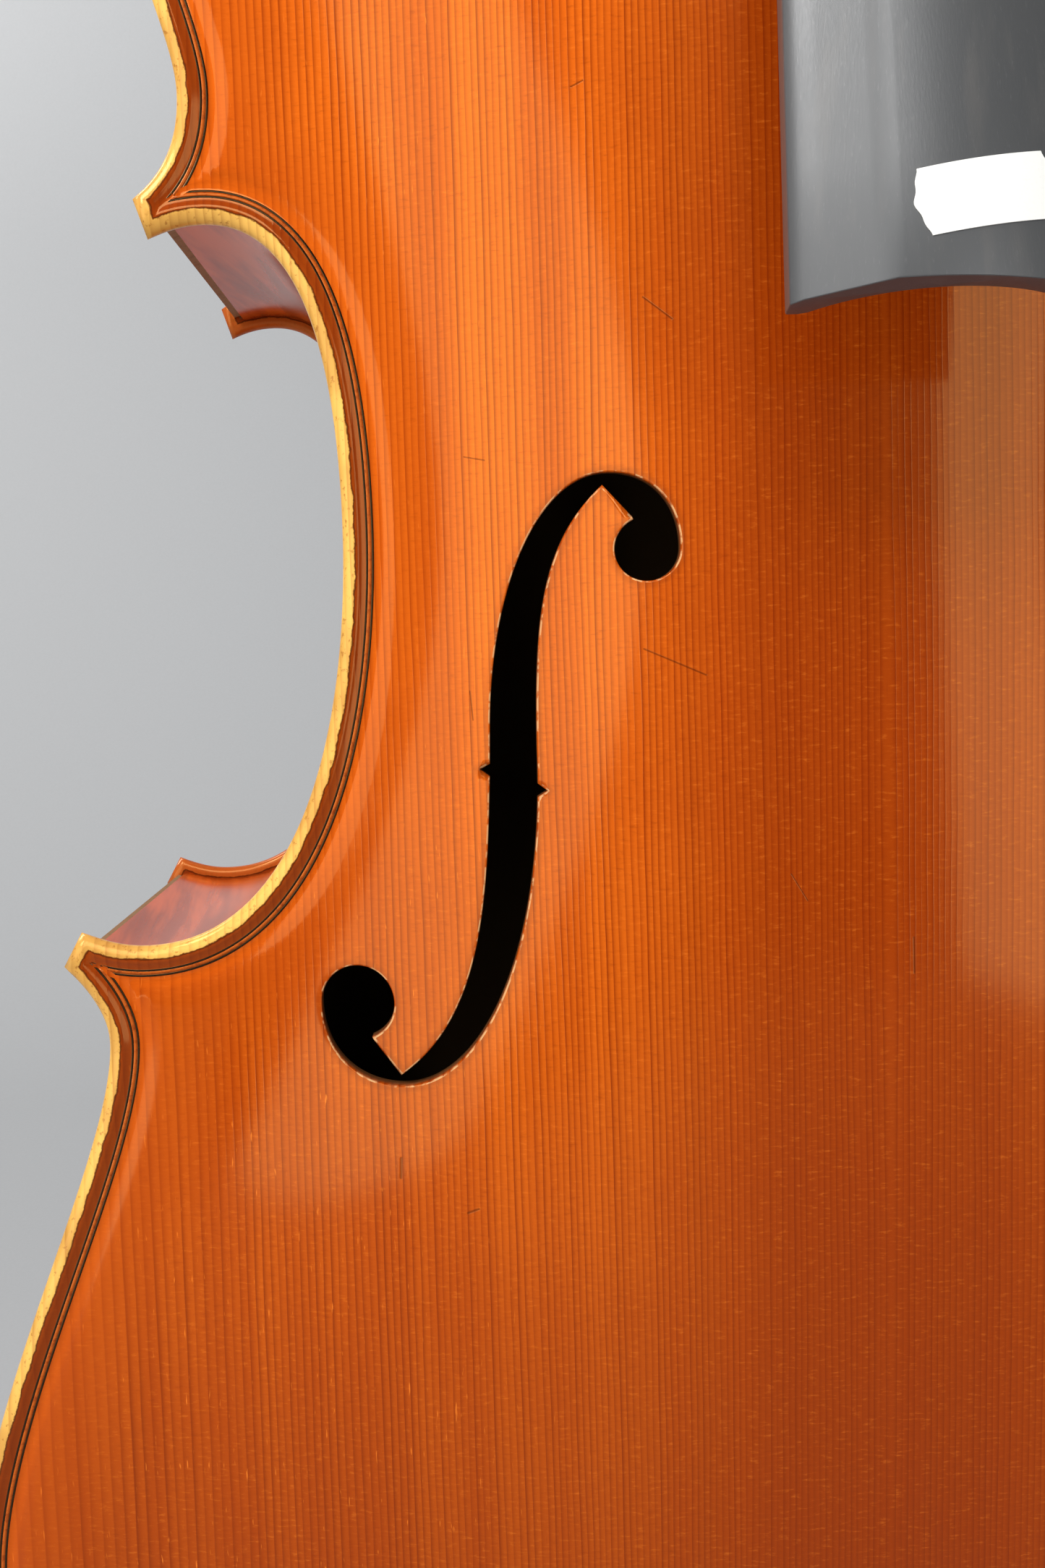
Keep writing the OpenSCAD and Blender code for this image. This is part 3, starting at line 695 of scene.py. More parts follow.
def neck_wood():
    """Varnished heel and pegbox; the handle between is bare, rubbed wood."""
    f = Finish("neck_maple", VARNISH)
    p = f.place()
    x, y, z = f.split(p)
    flame = f.noise(f.join(x * 0.08, y * 0.25, z + y * 0.3), 6.0, 3, 0.55)
    colour, pore = flamed_maple(MAPLE_LIGHT, MAPLE_DARK, flame, p, f)
    bare = f.blend(rgb(0.62, 0.36, 0.15), rgb(0.42, 0.20, 0.07), flame.step(0.36, 0.64) * 0.7)
    bare = f.blend(bare, rgb(0.20, 0.08, 0.03), pore.step(0.62, 0.8) * 0.4)
    ragged = (f.noise(p, 9, 3) - 0.5) * 9
    handle = (z + ragged).step(BOTTOM + 838, BOTTOM + 862) * (z + ragged).step(BOTTOM + 1022, BOTTOM + 1002)
    colour = f.blend(colour, bare, handle)
    wear = f.noise(p, 26, 4, 0.6).step(0.56, 0.75)
    colour = f.blend(colour, WORN_EDGE, wear * 0.30)
    rough = 0.13 + pore * 0.06 + handle * 0.26
    return f.done(colour, rough, f.relief(flame * 0.03 + pore * 0.008))


def black_wood(name, base, streaked, open_pore):
    """Ebony dressed with a scraper: satin, with fine long pores."""
    f = Finish(name, {"IOR": 1.6})
    p = f.place()
    pore = f.noise(f.stretch(p, 1, 1, 0.035), 0.38, 3, 0.6)
    streak = f.noise(f.stretch(p, 1, 1, 0.02), 5, 3)
    rub = f.noise(p, 34, 3)
    colour = f.blend(base, streaked, streak.step(0.5, 0.75))
    colour = f.blend(colour, open_pore, pore.step(0.58, 0.80) * 0.35)
    rough = 0.38 + rub * 0.10 - pore * 0.10
    return f.done(colour, rough, f.relief(pore * 0.016))


def inner_wood(name, base, dark):
    """Bare wood of the parts inside."""
    f = Finish(name, {"IOR": 1.4})
    p = f.place()
    ring = f.noise(f.stretch(p, 1, 1, 0.02), 1.7, 3, 0.6)
    colour = f.blend(base, dark, ring.step(0.5, 0.7) * 0.6)
    return f.done(colour, 0.62 + ring * 0.2, f.relief(ring * 0.05))


def bright_metal(name, colour, dull, rough, stretch):
    f = Finish(name, {"Metallic": 1.0})
    p = f.place()
    line = f.noise(f.stretch(p, *stretch), 0.6, 3, 0.6)
    haze = f.noise(p, 11, 4, 0.6)
    shade = f.blend(colour, dull, haze.step(0.45, 0.75) * 0.8 + line * 0.1)
    return f.done(shade, rough + line * 0.10 + haze.step(0.5, 0.8) * 0.16, f.relief(line * 0.004))


def plain_ply(name, colour, other):
    f = Finish(name, VARNISH)
    p = f.place()
    fleck = f.noise(p, 1.2, 3, 0.6)
    return f.done(f.blend(colour, other, fleck.step(0.45, 0.7)), 0.12 + fleck * 0.08, f.relief(fleck * 0.01))


def paper():
    f = Finish("paper", {"IOR": 1.4})
    p = f.place()
    fibre = f.noise(p, 0.5, 4, 0.6)
    soft = f.noise(p, 7, 2)
    colour = f.blend(rgb(0.84, 0.83, 0.79), rgb(0.72, 0.71, 0.67), fibre.step(0.5, 0.8) * 0.4 + soft * 0.15)
    return f.done(colour, 0.62 + fibre * 0.15, f.relief(fibre * 0.02 + soft * 0.05))


SPRUCE = varnished_spruce()
BACK = varnished_back()
RIBS = varnished_ribs()
NECK = neck_wood()
EBONY = black_wood("ebony", rgb(0.016, 0.016, 0.0165), rgb(0.026, 0.021, 0.018), rgb(0.075, 0.073, 0.072))
DRY_EBONY = black_wood("dry_ebony", rgb(0.060, 0.061, 0.062), rgb(0.076, 0.074, 0.072), rgb(0.14, 0.14, 0.14))
PLY_BLACK = plain_ply("purfling_black", rgb(0.006, 0.003, 0.002), rgb(0.016, 0.006, 0.003))
PLY_WOOD = plain_ply("purfling_wood", rgb(0.46, 0.085, 0.008), rgb(0.28, 0.040, 0.004))
RAW = inner_wood("raw_spruce", rgb(0.30, 0.19, 0.09), rgb(0.18, 0.10, 0.045))
NICKEL = bright_metal("nickel", rgb(0.72, 0.69, 0.64), rgb(0.52, 0.49, 0.44), 0.17, (1, 1, 1))
STEEL = bright_metal("steel", rgb(0.60, 0.60, 0.61), rgb(0.45, 0.45, 0.46), 0.22, (1, 1, 4))
PAPER = paper()


# ---------------------------------------------------------------- plates

def plate_plan(edge_line, bottom_cut, top_cut, hole):
    """Flat triangles over half a plate, in rows along its edge and sound hole."""
    line = edge_line
    start, end = [], []
    if bottom_cut:
        w, deep = bottom_cut
        line = line[(line[:, 0] > w + 0.3) | (line[:, 1] > 100)]
        z0 = np.interp(w, edge_line[:40, 0], edge_line[:40, 1])
        start = [(0, deep), *[(k, deep) for k in np.arange(2, w - 1, 2)], (w, deep), (w, deep / 2), (w, z0)]
    if top_cut:
        w, deep = top_cut
        line = line[(line[:, 0] > w + 0.3) | (line[:, 1] < 650)]
        tail = edge_line[-60:][::-1]
        z1 = np.interp(w, tail[:, 0], tail[:, 1])
        deep = BODY_LEN - deep
        steps = np.arange(2, w - 1, 2)[::-1]
        end = [(w, z1), (w, (z1 + deep) / 2), (w, deep), *[(k, deep) for k in steps], (0, deep)]
    outline = np.array(start + line.tolist() + end)
    insets = (0.12, 0.4, 0.8, 1.35, 2.15, 3.0, 4.0, 5.2, 6.3, 7.4, 8.8, 10.6, 12.8)
    ends = np.concatenate([[outline[0, 1] + d for d in insets], [outline[-1, 1] - d for d in insets]])
    seam_z = np.unique(np.round(np.concatenate(
        [ends, np.arange(outline[0, 1] + 16, outline[-1, 1] - 15, 3.2)]), 3))[::-1]
    seam = np.stack([np.zeros_like(seam_z), seam_z], axis=1)
    rows = []
    lines = list(BOUTS)
    if len(edge_line) != len(HALF_EDGE):
        lines[2] = lines[2][lines[2][:, 0] > 17.6]
        lines.append(BUTTON)
    for d in insets:
        for k in lines:
            moved = inset(k, d)
            rows.append(moved[gap_to(moved, edge_line) > d - 0.04])
    zs = np.arange(4, BODY_LEN + 12, 3.2)
    xs, zs = np.meshgrid(np.arange(3.2, 220, 3.2), zs)
    xs = xs + np.where(np.arange(xs.shape[0]) % 2 == 0, 0, 1.6)[:, None]
    grid = np.stack([xs.ravel(), zs.ravel()], axis=1)
    grid = grid[within(grid, outline)]
    grid = grid[gap_to(grid, edge_line) > 14.3]
    rows.append(grid)
    if hole is not None:
        ring_line = np.concatenate([hole, hole[:1]])
        for d in (0.1, 0.25, 0.45, 1.5):
            for side in (-d, d):
                ring = inset(ring_line, side)
                rows.append(ring[gap_to(ring, hole, closed=True) > d - 0.02])
    points = np.concatenate(rows)
    points = points[within(points, outline) & (points[:, 0] > 0.9)]
    points = points[gap_to(points, outline) > 0.08]
    cuts = [np.array(k) for k in (start, end) if k]
    for cut in cuts:
        points = points[gap_to(points, cut) > 0.9]
    if hole is not None:
        points = points[~within(points, hole)]
        gap = gap_to(points, hole, closed=True)
        is_row = np.isclose(gap, 0.1, atol=0.03) | np.isclose(gap, 0.25, atol=0.03)
        is_row |= np.isclose(gap, 0.45, atol=0.03) | np.isclose(gap, 1.5, atol=0.03)
        points = points[is_row | (gap > 2.4)]
    coords = [Vector(k) for k in outline] + [Vector(k) for k in seam]
    n = len(coords)
    edges = [(k, (k + 1) % n) for k in range(n)]
    if hole is not None:
        coords += [Vector(k) for k in hole]
        edges += [(n + k, n + (k + 1) % len(hole)) for k in range(len(hole))]
    coords += [Vector(k) for k in points]
    plan = delaunay_2d_cdt(coords, edges, [], 0, 1e-4)
    flat = np.array([tuple(v) for v in plan[0]])
    faces = np.array(plan[2])
    middle = flat[faces].mean(axis=1)
    keep = within(middle, np.concatenate([outline, seam]))
    if hole is not None:
        keep &= ~within(middle, hole)
    faces = faces[keep]
    side_a = flat[faces[:, 1]] - flat[faces[:, 0]]
    side_b = flat[faces[:, 2]] - flat[faces[:, 0]]
    turn = side_a[:, 0] * side_b[:, 1] - side_a[:, 1] * side_b[:, 0]
    faces[turn < 0] = faces[turn < 0][:, ::-1]
    used = np.unique(faces)
    index = np.full(len(flat), -1)
    index[used] = np.arange(len(used))
    return flat[used], index[faces]


def plate_shape(plan, edge_line, hole):
    """Heights and slopes of both faces of a half plate, worked out once for its two sides."""
    flat = plan[0]
    n = len(flat)

    def gaps(points):
        hole_gap = gap_to(points, hole, closed=True) if hole is not None else np.full(len(points), 99.0)
        return gap_to(points, edge_line), hole_gap

    edge, hole_gap = gaps(flat)
    edge[edge < 1e-3] = 0
    hole_gap[hole_gap < 1e-3] = 0
    near = (edge < 17) | (hole_gap < 1)
    shape = {"edge": edge, "hole": hole_gap}
    h = 0.12
    tilts = {outer_height: np.zeros((n, 2)), inner_height: np.zeros((n, 2))}
    for axis, way in ((0, (h, 0)), (1, (0, h))):
        ahead, behind = flat + way, flat - way
        spans = []
        for points in (ahead, behind):
            e, g = np.full(n, 50.0), np.full(n, 99.0)
            e[near], g[near] = gaps(points[near])
            spans.append((points[:, 0], points[:, 1], e, g))
        for height, tilt in tilts.items():
            tilt[:, axis] = (height(*spans[0]) - height(*spans[1])) / (2 * h)
    shape["outer"] = (outer_height(flat[:, 0], flat[:, 1], edge, hole_gap), tilts[outer_height])
    shape["inner"] = (inner_height(flat[:, 0], flat[:, 1], edge, hole_gap), tilts[inner_height])
    return shape


def plate(name, plan, shape, side, front):
    """Half a plate as a closed shell. side is -1 for the bass half."""
    flat, faces = plan
    n = len(flat)
    face_way = -1 if front else 1

    def lifted(height):
        return np.stack([side * flat[:, 0], face_way * (RIB_Y + height), BOTTOM + flat[:, 1]], axis=1)

    pairs = np.concatenate([faces[:, [0, 1]], faces[:, [1, 2]], faces[:, [2, 0]]]).tolist()
    known = set(map(tuple, pairs))
    rim = sorted((a, b) for a, b in known if (b, a) not in known)
    flip = side * face_way > 0
    top = faces[:, ::-1] if flip else faces
    under = (faces if flip else faces[:, ::-1]) + n
    walls = [(a, b, b + n, a + n) if flip else (b, a, a + n, b + n) for a, b in rim]
    points = np.concatenate([lifted(shape["outer"][0]), lifted(shape["inner"][0])])
    obj = new_piece(name, points, top.tolist() + under.tolist() + walls)
    mesh = obj.data
    for key, value in (
            ("edge", np.tile(shape["edge"], 2)), ("hole", np.tile(shape["hole"], 2)),
            ("inside", np.repeat([0.0, 1.0], n))):
        mesh.attributes.new(key, "FLOAT", "POINT").data.foreach_set("value", value.astype(np.float32))
    normals = []
    for sign, tilt in ((1, shape["outer"][1]), (-1, shape["inner"][1])):
        out = np.full(n, float(face_way))
        normals.append(sign * np.stack([-side * tilt[:, 0], out, -tilt[:, 1]], axis=1))
    normals = np.concatenate(normals)
    normals /= np.linalg.norm(normals, axis=1)[:, None]
    plain = np.empty(6 * n)
    mesh.vertex_normals.foreach_get("vector", plain)
    rolled = (np.tile(shape["edge"], 2) < 0.9) | (np.tile(shape["hole"], 2) < 0.3)
    normals[rolled] = plain.reshape(-1, 3)[rolled]
    mesh.normals_split_custom_set_from_vertices(normals.tolist())
    return obj


for front, edge_line, cuts, hole in (
        (True, HALF_EDGE, ((SADDLE_W, SADDLE_DEEP), (NECK_ROOT, NECK_DEEP)), HOLE),
        (False, BACK_EDGE, (None, None), None)):
    plan = plate_plan(edge_line, *cuts, hole)
    shape = plate_shape(plan, edge_line, hole)
    for side, half in ((-1, "bass"), (1, "treble")):
        piece = plate(("front_" if front else "back_") + half, plan, shape, side, front)
        if front:
            settle(piece, ["top_plate_" + half], SPRUCE)
        else:
            settle(piece, ["back_plate_" + half], BACK)


# ---------------------------------------------------------------- purfling

def purfling(name, front):
    """Three plies let into the edge and mitred at the corners."""
    points, faces, marks = [], [], []
    edge_line = HALF_EDGE if front else BACK_EDGE
    for side in (-1, 1):
        for i, curves in enumerate((LOWER, CENTRE, UPPER)):
            fine = along(curves, 0.5)
            others = [k for j, k in enumerate(BOUTS) if j != i]
            lines = []
            for d in PURFLING:
                moved = inset(fine, d)
                good = np.min([gap_to(moved, k) for k in others], axis=0) >= d
                if front:
                    good &= ~((moved[:, 1] < 100) & (moved[:, 0] < SADDLE_W))
                    good &= ~((moved[:, 1] > 650) & (moved[:, 0] < NECK_ROOT))
                where = np.nonzero(good)[0]
                spots = np.linspace(where[0], where[-1], len(fine) // 3)
                count = np.arange(len(moved))
                flat = np.stack([np.interp(spots, count, moved[:, c]) for c in (0, 1)], axis=1)
                true_edge = gap_to(flat, edge_line)
                height = outer_height(flat[:, 0], flat[:, 1], true_edge, np.full(len(flat), 99.0)) + 0.03
                y = (-1 if front else 1) * (RIB_Y + height)
                lines.append(np.stack([side * flat[:, 0], y, BOTTOM + flat[:, 1]], axis=1))
            for ply in range(3):
                base = sum(map(len, points))
                n = len(lines[0])
                points += [lines[ply], lines[ply + 1]]
                for k in range(n - 1):
                    quad = (base + k, base + k + 1, base + n + k + 1, base + n + k)
                    faces.append(quad if (side > 0) == (not front) else quad[::-1])
                    marks.append(0 if ply == 1 else 1)
    obj = new_piece(name, np.concatenate(points), faces)
    if sum(p.normal.y for p in obj.data.polygons) * (-1 if front else 1) < 0:
        edit(obj, bpy.ops.mesh.flip_normals)
    obj.data.materials.append(PLY_WOOD.material)
    obj.data.materials.append(PLY_BLACK.material)
    obj.data.polygons.foreach_set("material_index", marks)
    return apply_modifier(obj, "SOLIDIFY", thickness=1.0 * MM, offset=-1)


settle(purfling("front_purfling", True), ["top_purfling"], PLY_BLACK)
settle(purfling("back_purfling_line", False), ["back_purfling"], PLY_BLACK)


# ---------------------------------------------------------------- ribs

def rib(name, curves, side):
    """A bent strip under the edge: its line drawn out across the body and thickened."""
    line = inset(along(curves, 2.5), OVERHANG)
    line = line[(gap_to(line, HALF_EDGE) > OVERHANG - 0.06) & (line[:, 0] >= 0)]
    if line[-1, 1] > 700:
        line = line[line[:, 0] > 19]
    n = len(line)
    start = np.stack([side * line[:, 0], np.full(n, -RIB_Y), BOTTOM + line[:, 1]], axis=1)
    obj = new_piece(name, start, [], [(k, k + 1) for k in range(n - 1)])
    deep = 2 * RIB_Y * MM / 6
    edit(obj, *[lambda: bpy.ops.mesh.extrude_region_move(TRANSFORM_OT_translate={"value": (0, deep, 0)})] * 6)
    run = np.concatenate([[0], np.cumsum(np.linalg.norm(np.diff(line, axis=0), axis=1))])
    mesh = obj.data
    uv = mesh.uv_layers.new(name="bend")
    spots = np.array([(v.co.x / MM, v.co.z / MM) for v in mesh.vertices])
    nearest = ((spots[:, None] - start[None, :, ::2]) ** 2).sum(2).argmin(1)
    for loop in mesh.loops:
        v = loop.vertex_index
        uv.data[loop.index].uv = (run[nearest[v]], mesh.vertices[v].co.y / MM)
    way = np.gradient(line, axis=0)[n // 2]
    outward = Vector((side * way[1], 0, -way[0]))
    middle = Vector(start[n // 2]) * MM
    middle.y = 0
    there = min(mesh.polygons, key=lambda p: (p.center - middle).length)
    if there.normal.dot(outward) < 0:
        edit(obj, bpy.ops.mesh.flip_normals)
    apply_modifier(obj, "SOLIDIFY", thickness=RIB_T * MM, offset=-1)
    return smooth_by_angle(obj, 40)


for side, half in ((-1, "bass"), (1, "treble")):
    for place, curves in (("lower", LOWER), ("centre", CENTRE), ("upper", UPPER)):
        settle(
            rib(f"{place}_rib_{half}", curves, side), [f"rib_{place}_{half}"], RIBS)


# ---------------------------------------------------------------- fingerboard, nut, saddle, label

ON_BOARD = move(0, BOARD_Y, BOTTOM + BOARD_Z) @ Matrix.Rotation(-BOARD_TILT, 4, "X")
AT_NUT = ON_BOARD @ move(0, 0, BOARD_LEN)


def board_top(x, k):
    """Height of the playing surface over the board's underside."""
    w = BOARD_W[0] + (BOARD_W[1] - BOARD_W[0]) * k
    peak = BOARD_PEAK[0] + (BOARD_PEAK[1] - BOARD_PEAK[0]) * k
    centre = BOARD_CROWN * w / BOARD_W[0]
    round_top = peak - (x - centre) ** 2 / (2 * BOARD_R)
    flat_x = -BOARD_FLAT * w
    flat_y = peak - (flat_x - centre) ** 2 / (2 * BOARD_R)
    side = BOARD_SIDE - BOARD_THINS * k
    slope = (flat_y - side) / (flat_x + w - 0.5)
    return np.where(x < flat_x, side + slope * (x + w - 0.5), round_top)


def board_ring(s):
    """Cross-section of the board at a distance from its lower end, hollowed underneath."""
    k = s / BOARD_LEN
    w = BOARD_W[0] + (BOARD_W[1] - BOARD_W[0]) * k
    side = BOARD_SIDE - BOARD_THINS * k
    scoop = max(0.0, SCOOP_DEEP * (1 - s / SCOOP_LEN))
    top_x = np.concatenate([
        np.linspace(-w + 2.1, -BOARD_FLAT * w, 5), np.linspace(-BOARD_FLAT * w, w - 0.5, 30)[1:]])
    top = [(x, -float(board_top(np.array(x), k))) for x in top_x]
    under_x = np.linspace(w - 2.4, -w + 2.4, 31)
    drop = SCOOP_R - np.sqrt(SCOOP_R ** 2 - np.minimum(under_x ** 2, 34 ** 2))
    under = [(x, -max(0.0, scoop - d)) for x, d in zip(under_x, drop)]
    ring = [(-w, -side + 1.3), *top, (w, top[-1][1] + 0.5), (w, 0), *under, (-w, 0)]
    return [(x, y, s) for x, y in ring]


def fingerboard():
    cuts = np.concatenate([np.linspace(0, SCOOP_LEN, 12), np.linspace(SCOOP_LEN, BOARD_LEN, 9)[1:]])
    obj = skin("fingerboard_wood", [np.array(board_ring(s)) for s in cuts])
    eased(obj, 0.45, 3, 28)
    return put(obj, ON_BOARD)


settle(fingerboard(), ["fingerboard"], DRY_EBONY)

nut = drawn_out("nut_wood", [
    (-BOARD_W[1], y, z) for y, z in (
        (0, 0), (-10.8, 0), (-11.4, 1.5), (-11, 4), (-10, 5.3), (-8.5, 6.4), (-6, 7), (0, 7))],
    2 * BOARD_W[1])
settle(put(eased(nut, 0.35, 3, 20), AT_NUT), ["nut"], EBONY)

saddle = drawn_out("saddle_wood", [
    (-SADDLE_W, y, z) for y, z in (
        (-59, 0.4), (-66.5, 0.4), (-70, 1.3), (-71.5, 2.5),
        (-72.5, 4.5), (-72.2, 6.2), (-70.5, 8), (-59, 8))],
    2 * SADDLE_W)
settle(put(eased(saddle, 0.4, 3, 20), move(0, 0, BOTTOM)), ["saddle"], EBONY)


def label():
    """A small blank sticker with wavy ends, laid over the board's curve."""
    bpy.ops.object.select_all(action="DESELECT")
    bpy.ops.mesh.primitive_grid_add(x_subdivisions=52, y_subdivisions=24, size=1)
    obj = bpy.context.active_object
    obj.name = obj.data.name = "blank_label"
    for v in obj.data.vertices:
        a, b = v.co.x * 2, v.co.y * 2
        reach = LABEL_REACH + 0.75 * math.cos(b * math.pi) + 0.2 * math.cos(b * math.pi * 3)
        lx, lz = a * reach, b * LABEL_HALF
        x = LABEL_X + lx * math.cos(LABEL_TURN) - lz * math.sin(LABEL_TURN)
        s = LABEL_S + lx * math.sin(LABEL_TURN) + lz * math.cos(LABEL_TURN)
        v.co = Vector((x, -float(board_top(np.array(x), s / BOARD_LEN)) - LABEL_LIFT, s)) * MM
    edit(obj, face_out)
    if sum(p.normal.y for p in obj.data.polygons) > 0:
        edit(obj, bpy.ops.mesh.flip_normals)
    apply_modifier(obj, "SOLIDIFY", thickness=LABEL_T * MM, offset=-1)
    obj.data.polygons.foreach_set("use_smooth", [True] * len(obj.data.polygons))
    smooth_by_angle(obj, 40)
    return put(obj, ON_BOARD)


settle(label(), ["price_label"], PAPER)

# ---------------------------------------------------------------- neck, scroll and pegs

settle(carved("neck", "neck_and_scroll", 1.1, 16), ["neck"], NECK)

PEG_SPOTS = {"c": (25, 26), "a": (27, 49), "g": (30, 72), "d": (34, 94)}


def peg_head():
    """The flattened thumb piece, a ball drawn into a heart and hollowed on both cheeks."""
    bpy.ops.object.select_all(action="DESELECT")
    bpy.ops.mesh.primitive_uv_sphere_add(segments=48, ring_count=40, radius=1)
    obj = bpy.context.active_object
    for v in obj.data.vertices:
        x, y, z = v.co
        share = (1 - z) / 2
        out = max(math.hypot(x, y), 1e-6)
        swell = 5 + 13 * float(ease(share / 0.44))
        tip = max(0.0, (share - 0.40) / 0.60)
        wide = min(swell, 18.2 * math.sqrt(max(0.0, 1 - tip ** 2.3)))
        thick = 4.5 * math.sqrt(max(0.0, 1 - max(0.0, (share - 0.55) / 0.45) ** 3))
        thick += 0.9 * (1 - float(ease(share / 0.3)))
        across = wide * x / out
        cheek = 1 - 0.30 * math.exp(-(across / 8.5) ** 2) * math.exp(-((share - 0.5) / 0.25) ** 2)
        side = math.copysign(abs(y / out) ** 0.75, y) * thick * cheek
        shrink = min(1.0, share / 0.02)
        v.co = Vector((across * shrink, side * shrink, -17.4 - 35.2 * share)) * MM
    obj.data.polygons.foreach_set("use_smooth", [True] * len(obj.data.polygons))
    return edit(obj, merge, face_out)


def joined(obj, others):
    """One solid made of overlapping solids."""
    for other in others:
        apply_modifier(obj, "BOOLEAN", operation="UNION", object=other, solver="EXACT")
        bpy.data.objects.remove(other)
    return obj


THUMB = peg_head()
for number, (letter, (deep, up)) in enumerate(PEG_SPOTS.items()):
    side = -1 if number % 2 == 0 else 1
    wall = PEGBOX_HALF - PEGBOX_NARROWS * (up - PEGBOX_START) / PEGBOX_LEN
    reach = 2 * wall + 3
    end_r = 7.2 - PEG_TAPER * reach
    peg = turned(f"tuning_peg_{letter}", [
        (0, -20), (4.6, -20), (5.6, -19.4), (6.4, -18.2),
        (7.6, -17.9), (8.5, -17.1), (8.6, -16.2), (8.3, -15.5),
        (9.4, -15.3), (10.3, -14.8), (10.6, -14.0), (10.3, -13.2), (9.4, -12.7), (8.4, -12.4), (7.7, -12.0),
        (7.55, -11.4), (end_r, reach - 0.9), (end_r - 0.3, reach - 0.3), (end_r - 1.0, reach), (0, reach)])
    thumb = THUMB.copy()
    thumb.data = THUMB.data.copy()
    bpy.context.collection.objects.link(thumb)
    bpy.ops.object.select_all(action="DESELECT")
    bpy.ops.mesh.primitive_uv_sphere_add(
        segments=24, ring_count=16, radius=2.6 * MM, location=(0, 0, -53.0 * MM))
    pip = bpy.context.active_object
    put(pip, pip.matrix_world.copy())
    joined(peg, [thumb, pip])
    bpy.ops.object.select_all(action="DESELECT")
    bpy.ops.mesh.primitive_cylinder_add(
        vertices=32, radius=STRING_HOLE_R * MM, depth=40 * MM, location=(0, 0, reach / 2 * MM))
    drill = bpy.context.active_object
    put(drill, drill.matrix_world @ Matrix.Rotation(math.pi / 2, 4, "X"))
    apply_modifier(peg, "BOOLEAN", operation="DIFFERENCE", object=drill, solver="EXACT")
    bpy.data.objects.remove(drill)
    smooth_by_angle(peg, 38)
    put(peg, AT_NUT @ move(side * wall, deep, up) @ Matrix.Rotation(-side * math.pi / 2, 4, "Y"))
    settle(peg, ["peg_" + letter], EBONY, "peg_" + letter)
bpy.data.objects.remove(THUMB)


# ---------------------------------------------------------------- endpin

def dressed(node, name, finish, body, width):
    obj = copy_of(node, name)
    edit(obj, lambda: bpy.ops.mesh.dissolve_limited(angle_limit=math.radians(0.6)))
    eased(obj, width, 2, 32)
    return settle(obj, [node], finish, body)


dressed("endpin_plug", "endpin_plug_wood", EBONY, BODY, 0.4)
dressed("endpin_ferrule", "endpin_ferrule_metal", NICKEL, BODY, 0.3)
dressed("endpin_rod", "endpin_rod_metal", STEEL, "endpin", 0.25)
dressed("endpin_spike", "endpin_spike_metal", STEEL, "endpin", 0.25)
dressed("endpin_thumbscrew", "endpin_thumbscrew_metal", NICKEL, "thumbscrew", 0.35)

# Inside parts keep their own shapes and get bare wood.
replaced = {n for o in bpy.data.objects for n in o.get("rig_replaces", [])}
for name, node in frame["nodes"].items():
    if name not in replaced:
        node.data.materials.clear()
        node.data.materials.append(RAW.material)


# ---------------------------------------------------------------- studio

def floor_and_backdrop():
    """A pale sheet that runs along the floor and curves up behind."""
    depth, bend, height = 2.2, 1.1, 3.4
    line = [(-3.0, 0.0), (depth - bend, 0.0)]
    line += [
        (depth - bend + bend * math.sin(a), bend - bend * math.cos(a))
        for a in np.linspace(0, math.pi / 2, 25)[1:]]
    line.append((depth, height))
    points = [(x, y, z) for x in (-4.5, 4.5) for y, z in line]
    n = len(line)
    mesh = bpy.data.meshes.new("backdrop")
    mesh.from_pydata(points, [], [(k, k + n, k + n + 1, k + 1) for k in range(n - 1)])
    mesh.polygons.foreach_set("use_smooth", [True] * (n - 1))
    obj = bpy.data.objects.new("backdrop", mesh)
    bpy.context.collection.objects.link(obj)
    f = Finish("backdrop_paper", {"IOR": 1.4})
    p = f.place()
    grain = f.noise(p, 3, 3)
    f.done(f.blend(rgb(0.47, 0.475, 0.48), rgb(0.44, 0.445, 0.45), grain), 0.85 + grain * 0.1)
    mesh.materials.append(f.material)


floor_and_backdrop()


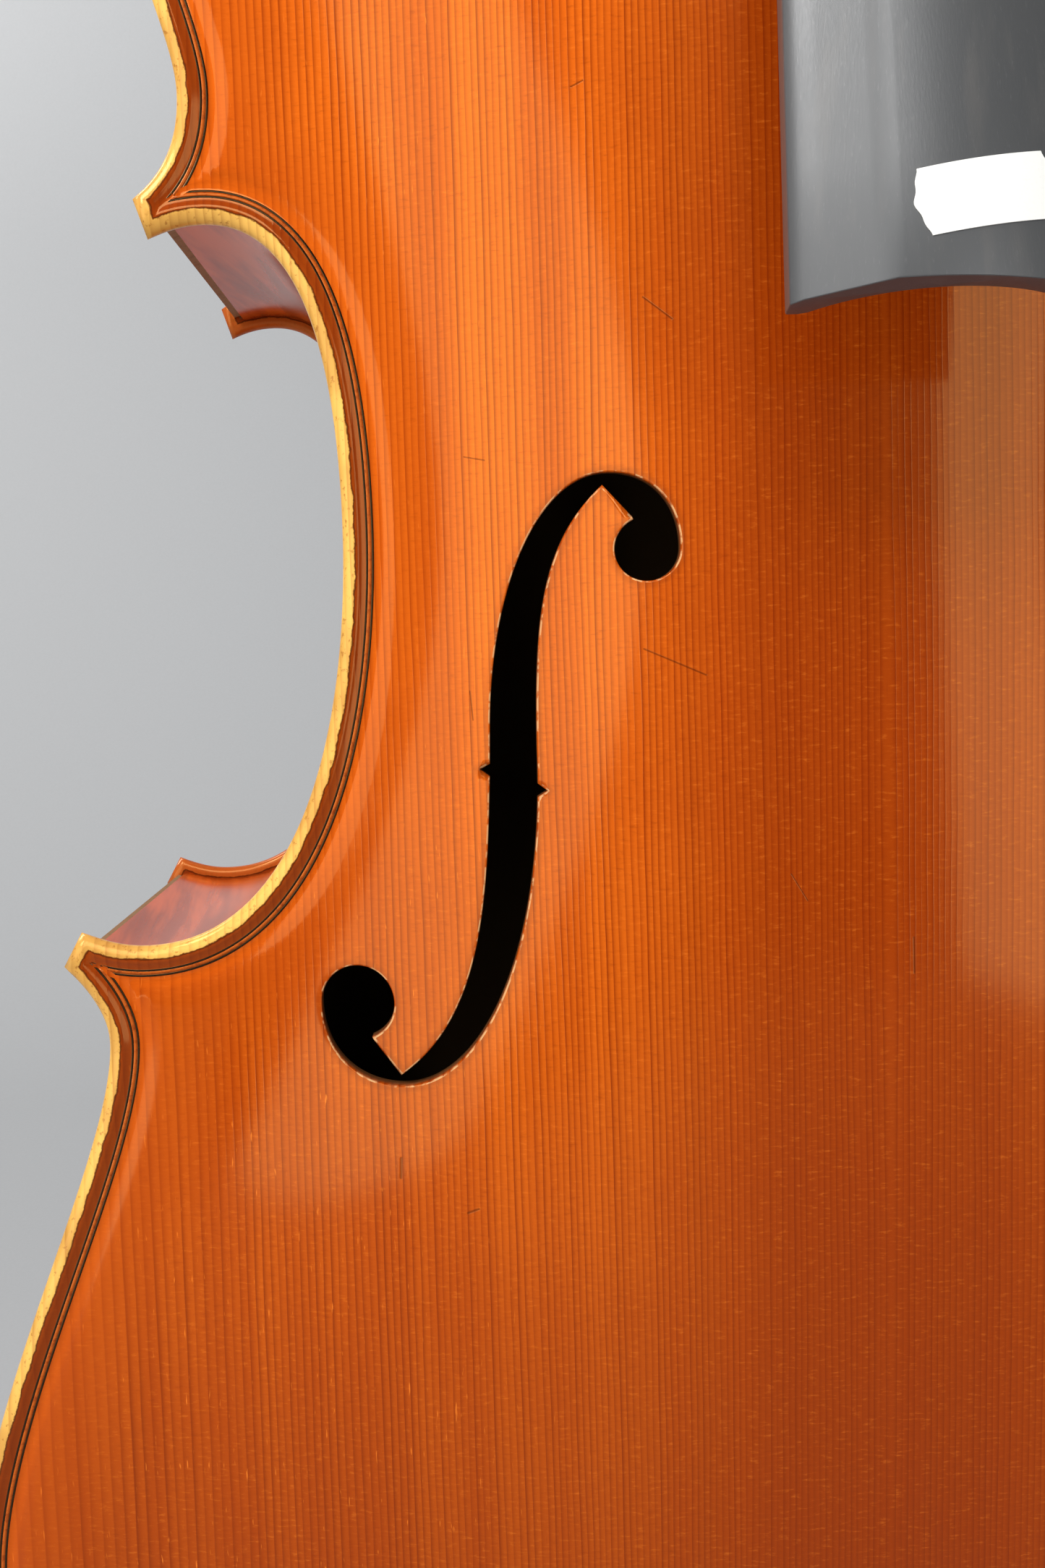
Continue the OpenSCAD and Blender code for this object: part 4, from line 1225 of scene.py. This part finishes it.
def softbox(name, spot, aim, width, height, glow):
    """A rectangular lamp facing its aim; glow is the brightness of its face."""
    lamp = bpy.data.lights.new(name, "AREA")
    lamp.shape = "RECTANGLE"
    lamp.size, lamp.size_y = width, height
    lamp.energy = glow * math.pi * width * height
    obj = bpy.data.objects.new(name, lamp)
    way = Vector(aim) - Vector(spot)
    obj.matrix_world = Matrix.Translation(Vector(spot)) @ way.to_track_quat("-Z", "Y").to_matrix().to_4x4()
    bpy.context.collection.objects.link(obj)


FACE = (-0.08, -0.08, 0.437)
softbox("left_softbox", (-1.305, -1.109, 0.67), (-0.08, -0.08, 0.67), 1.29, 1.40, 2.75)
softbox("right_softbox", (0.78, -1.42, 0.465), FACE, 0.60, 1.16, 3.0)
softbox("near_lamp", (-0.65, -0.40, 1.09), (-0.12, -0.08, 0.45), 0.24, 0.24, 21.0)
softbox("high_lamp", (-0.25, -1.07, 1.42), (-0.02, -0.14, 0.55), 0.9, 0.6, 8.0)
softbox("backdrop_lamp", (-1.6, 0.9, 2.2), (-0.8, 2.2, 1.2), 0.9, 0.9, 15.0)
softbox("backdrop_fill", (0.6, 0.2, 2.4), (0.0, 2.2, 0.5), 1.2, 0.8, 3.0)

world = bpy.data.worlds.new("studio")
world.use_nodes = True
world.node_tree.nodes["Background"].inputs[0].default_value = (0.93, 0.96, 1.0, 1)
world.node_tree.nodes["Background"].inputs[1].default_value = 0.14
bpy.context.scene.world = world

lens = bpy.data.cameras.new("camera")
lens.lens = 36.28
lens.sensor_width = 36
camera = bpy.data.objects.new("camera", lens)
yaw, pitch, lean = (math.radians(a) for a in (1.38, 5.65, 1.83))
forward = Vector((math.sin(yaw) * math.cos(pitch), math.cos(yaw) * math.cos(pitch), -math.sin(pitch)))
level = Vector((math.cos(yaw), -math.sin(yaw), 0))
right = math.cos(lean) * level + math.sin(lean) * forward.cross(level)
down = forward.cross(right)
camera.matrix_world = Matrix.Translation((-0.0879, -0.4275, 0.4525)) @ Matrix(
    [[right[i], -down[i], -forward[i]] for i in range(3)]).to_4x4()
bpy.context.collection.objects.link(camera)
bpy.context.scene.camera = camera
bpy.context.scene.view_settings.view_transform = "Standard"
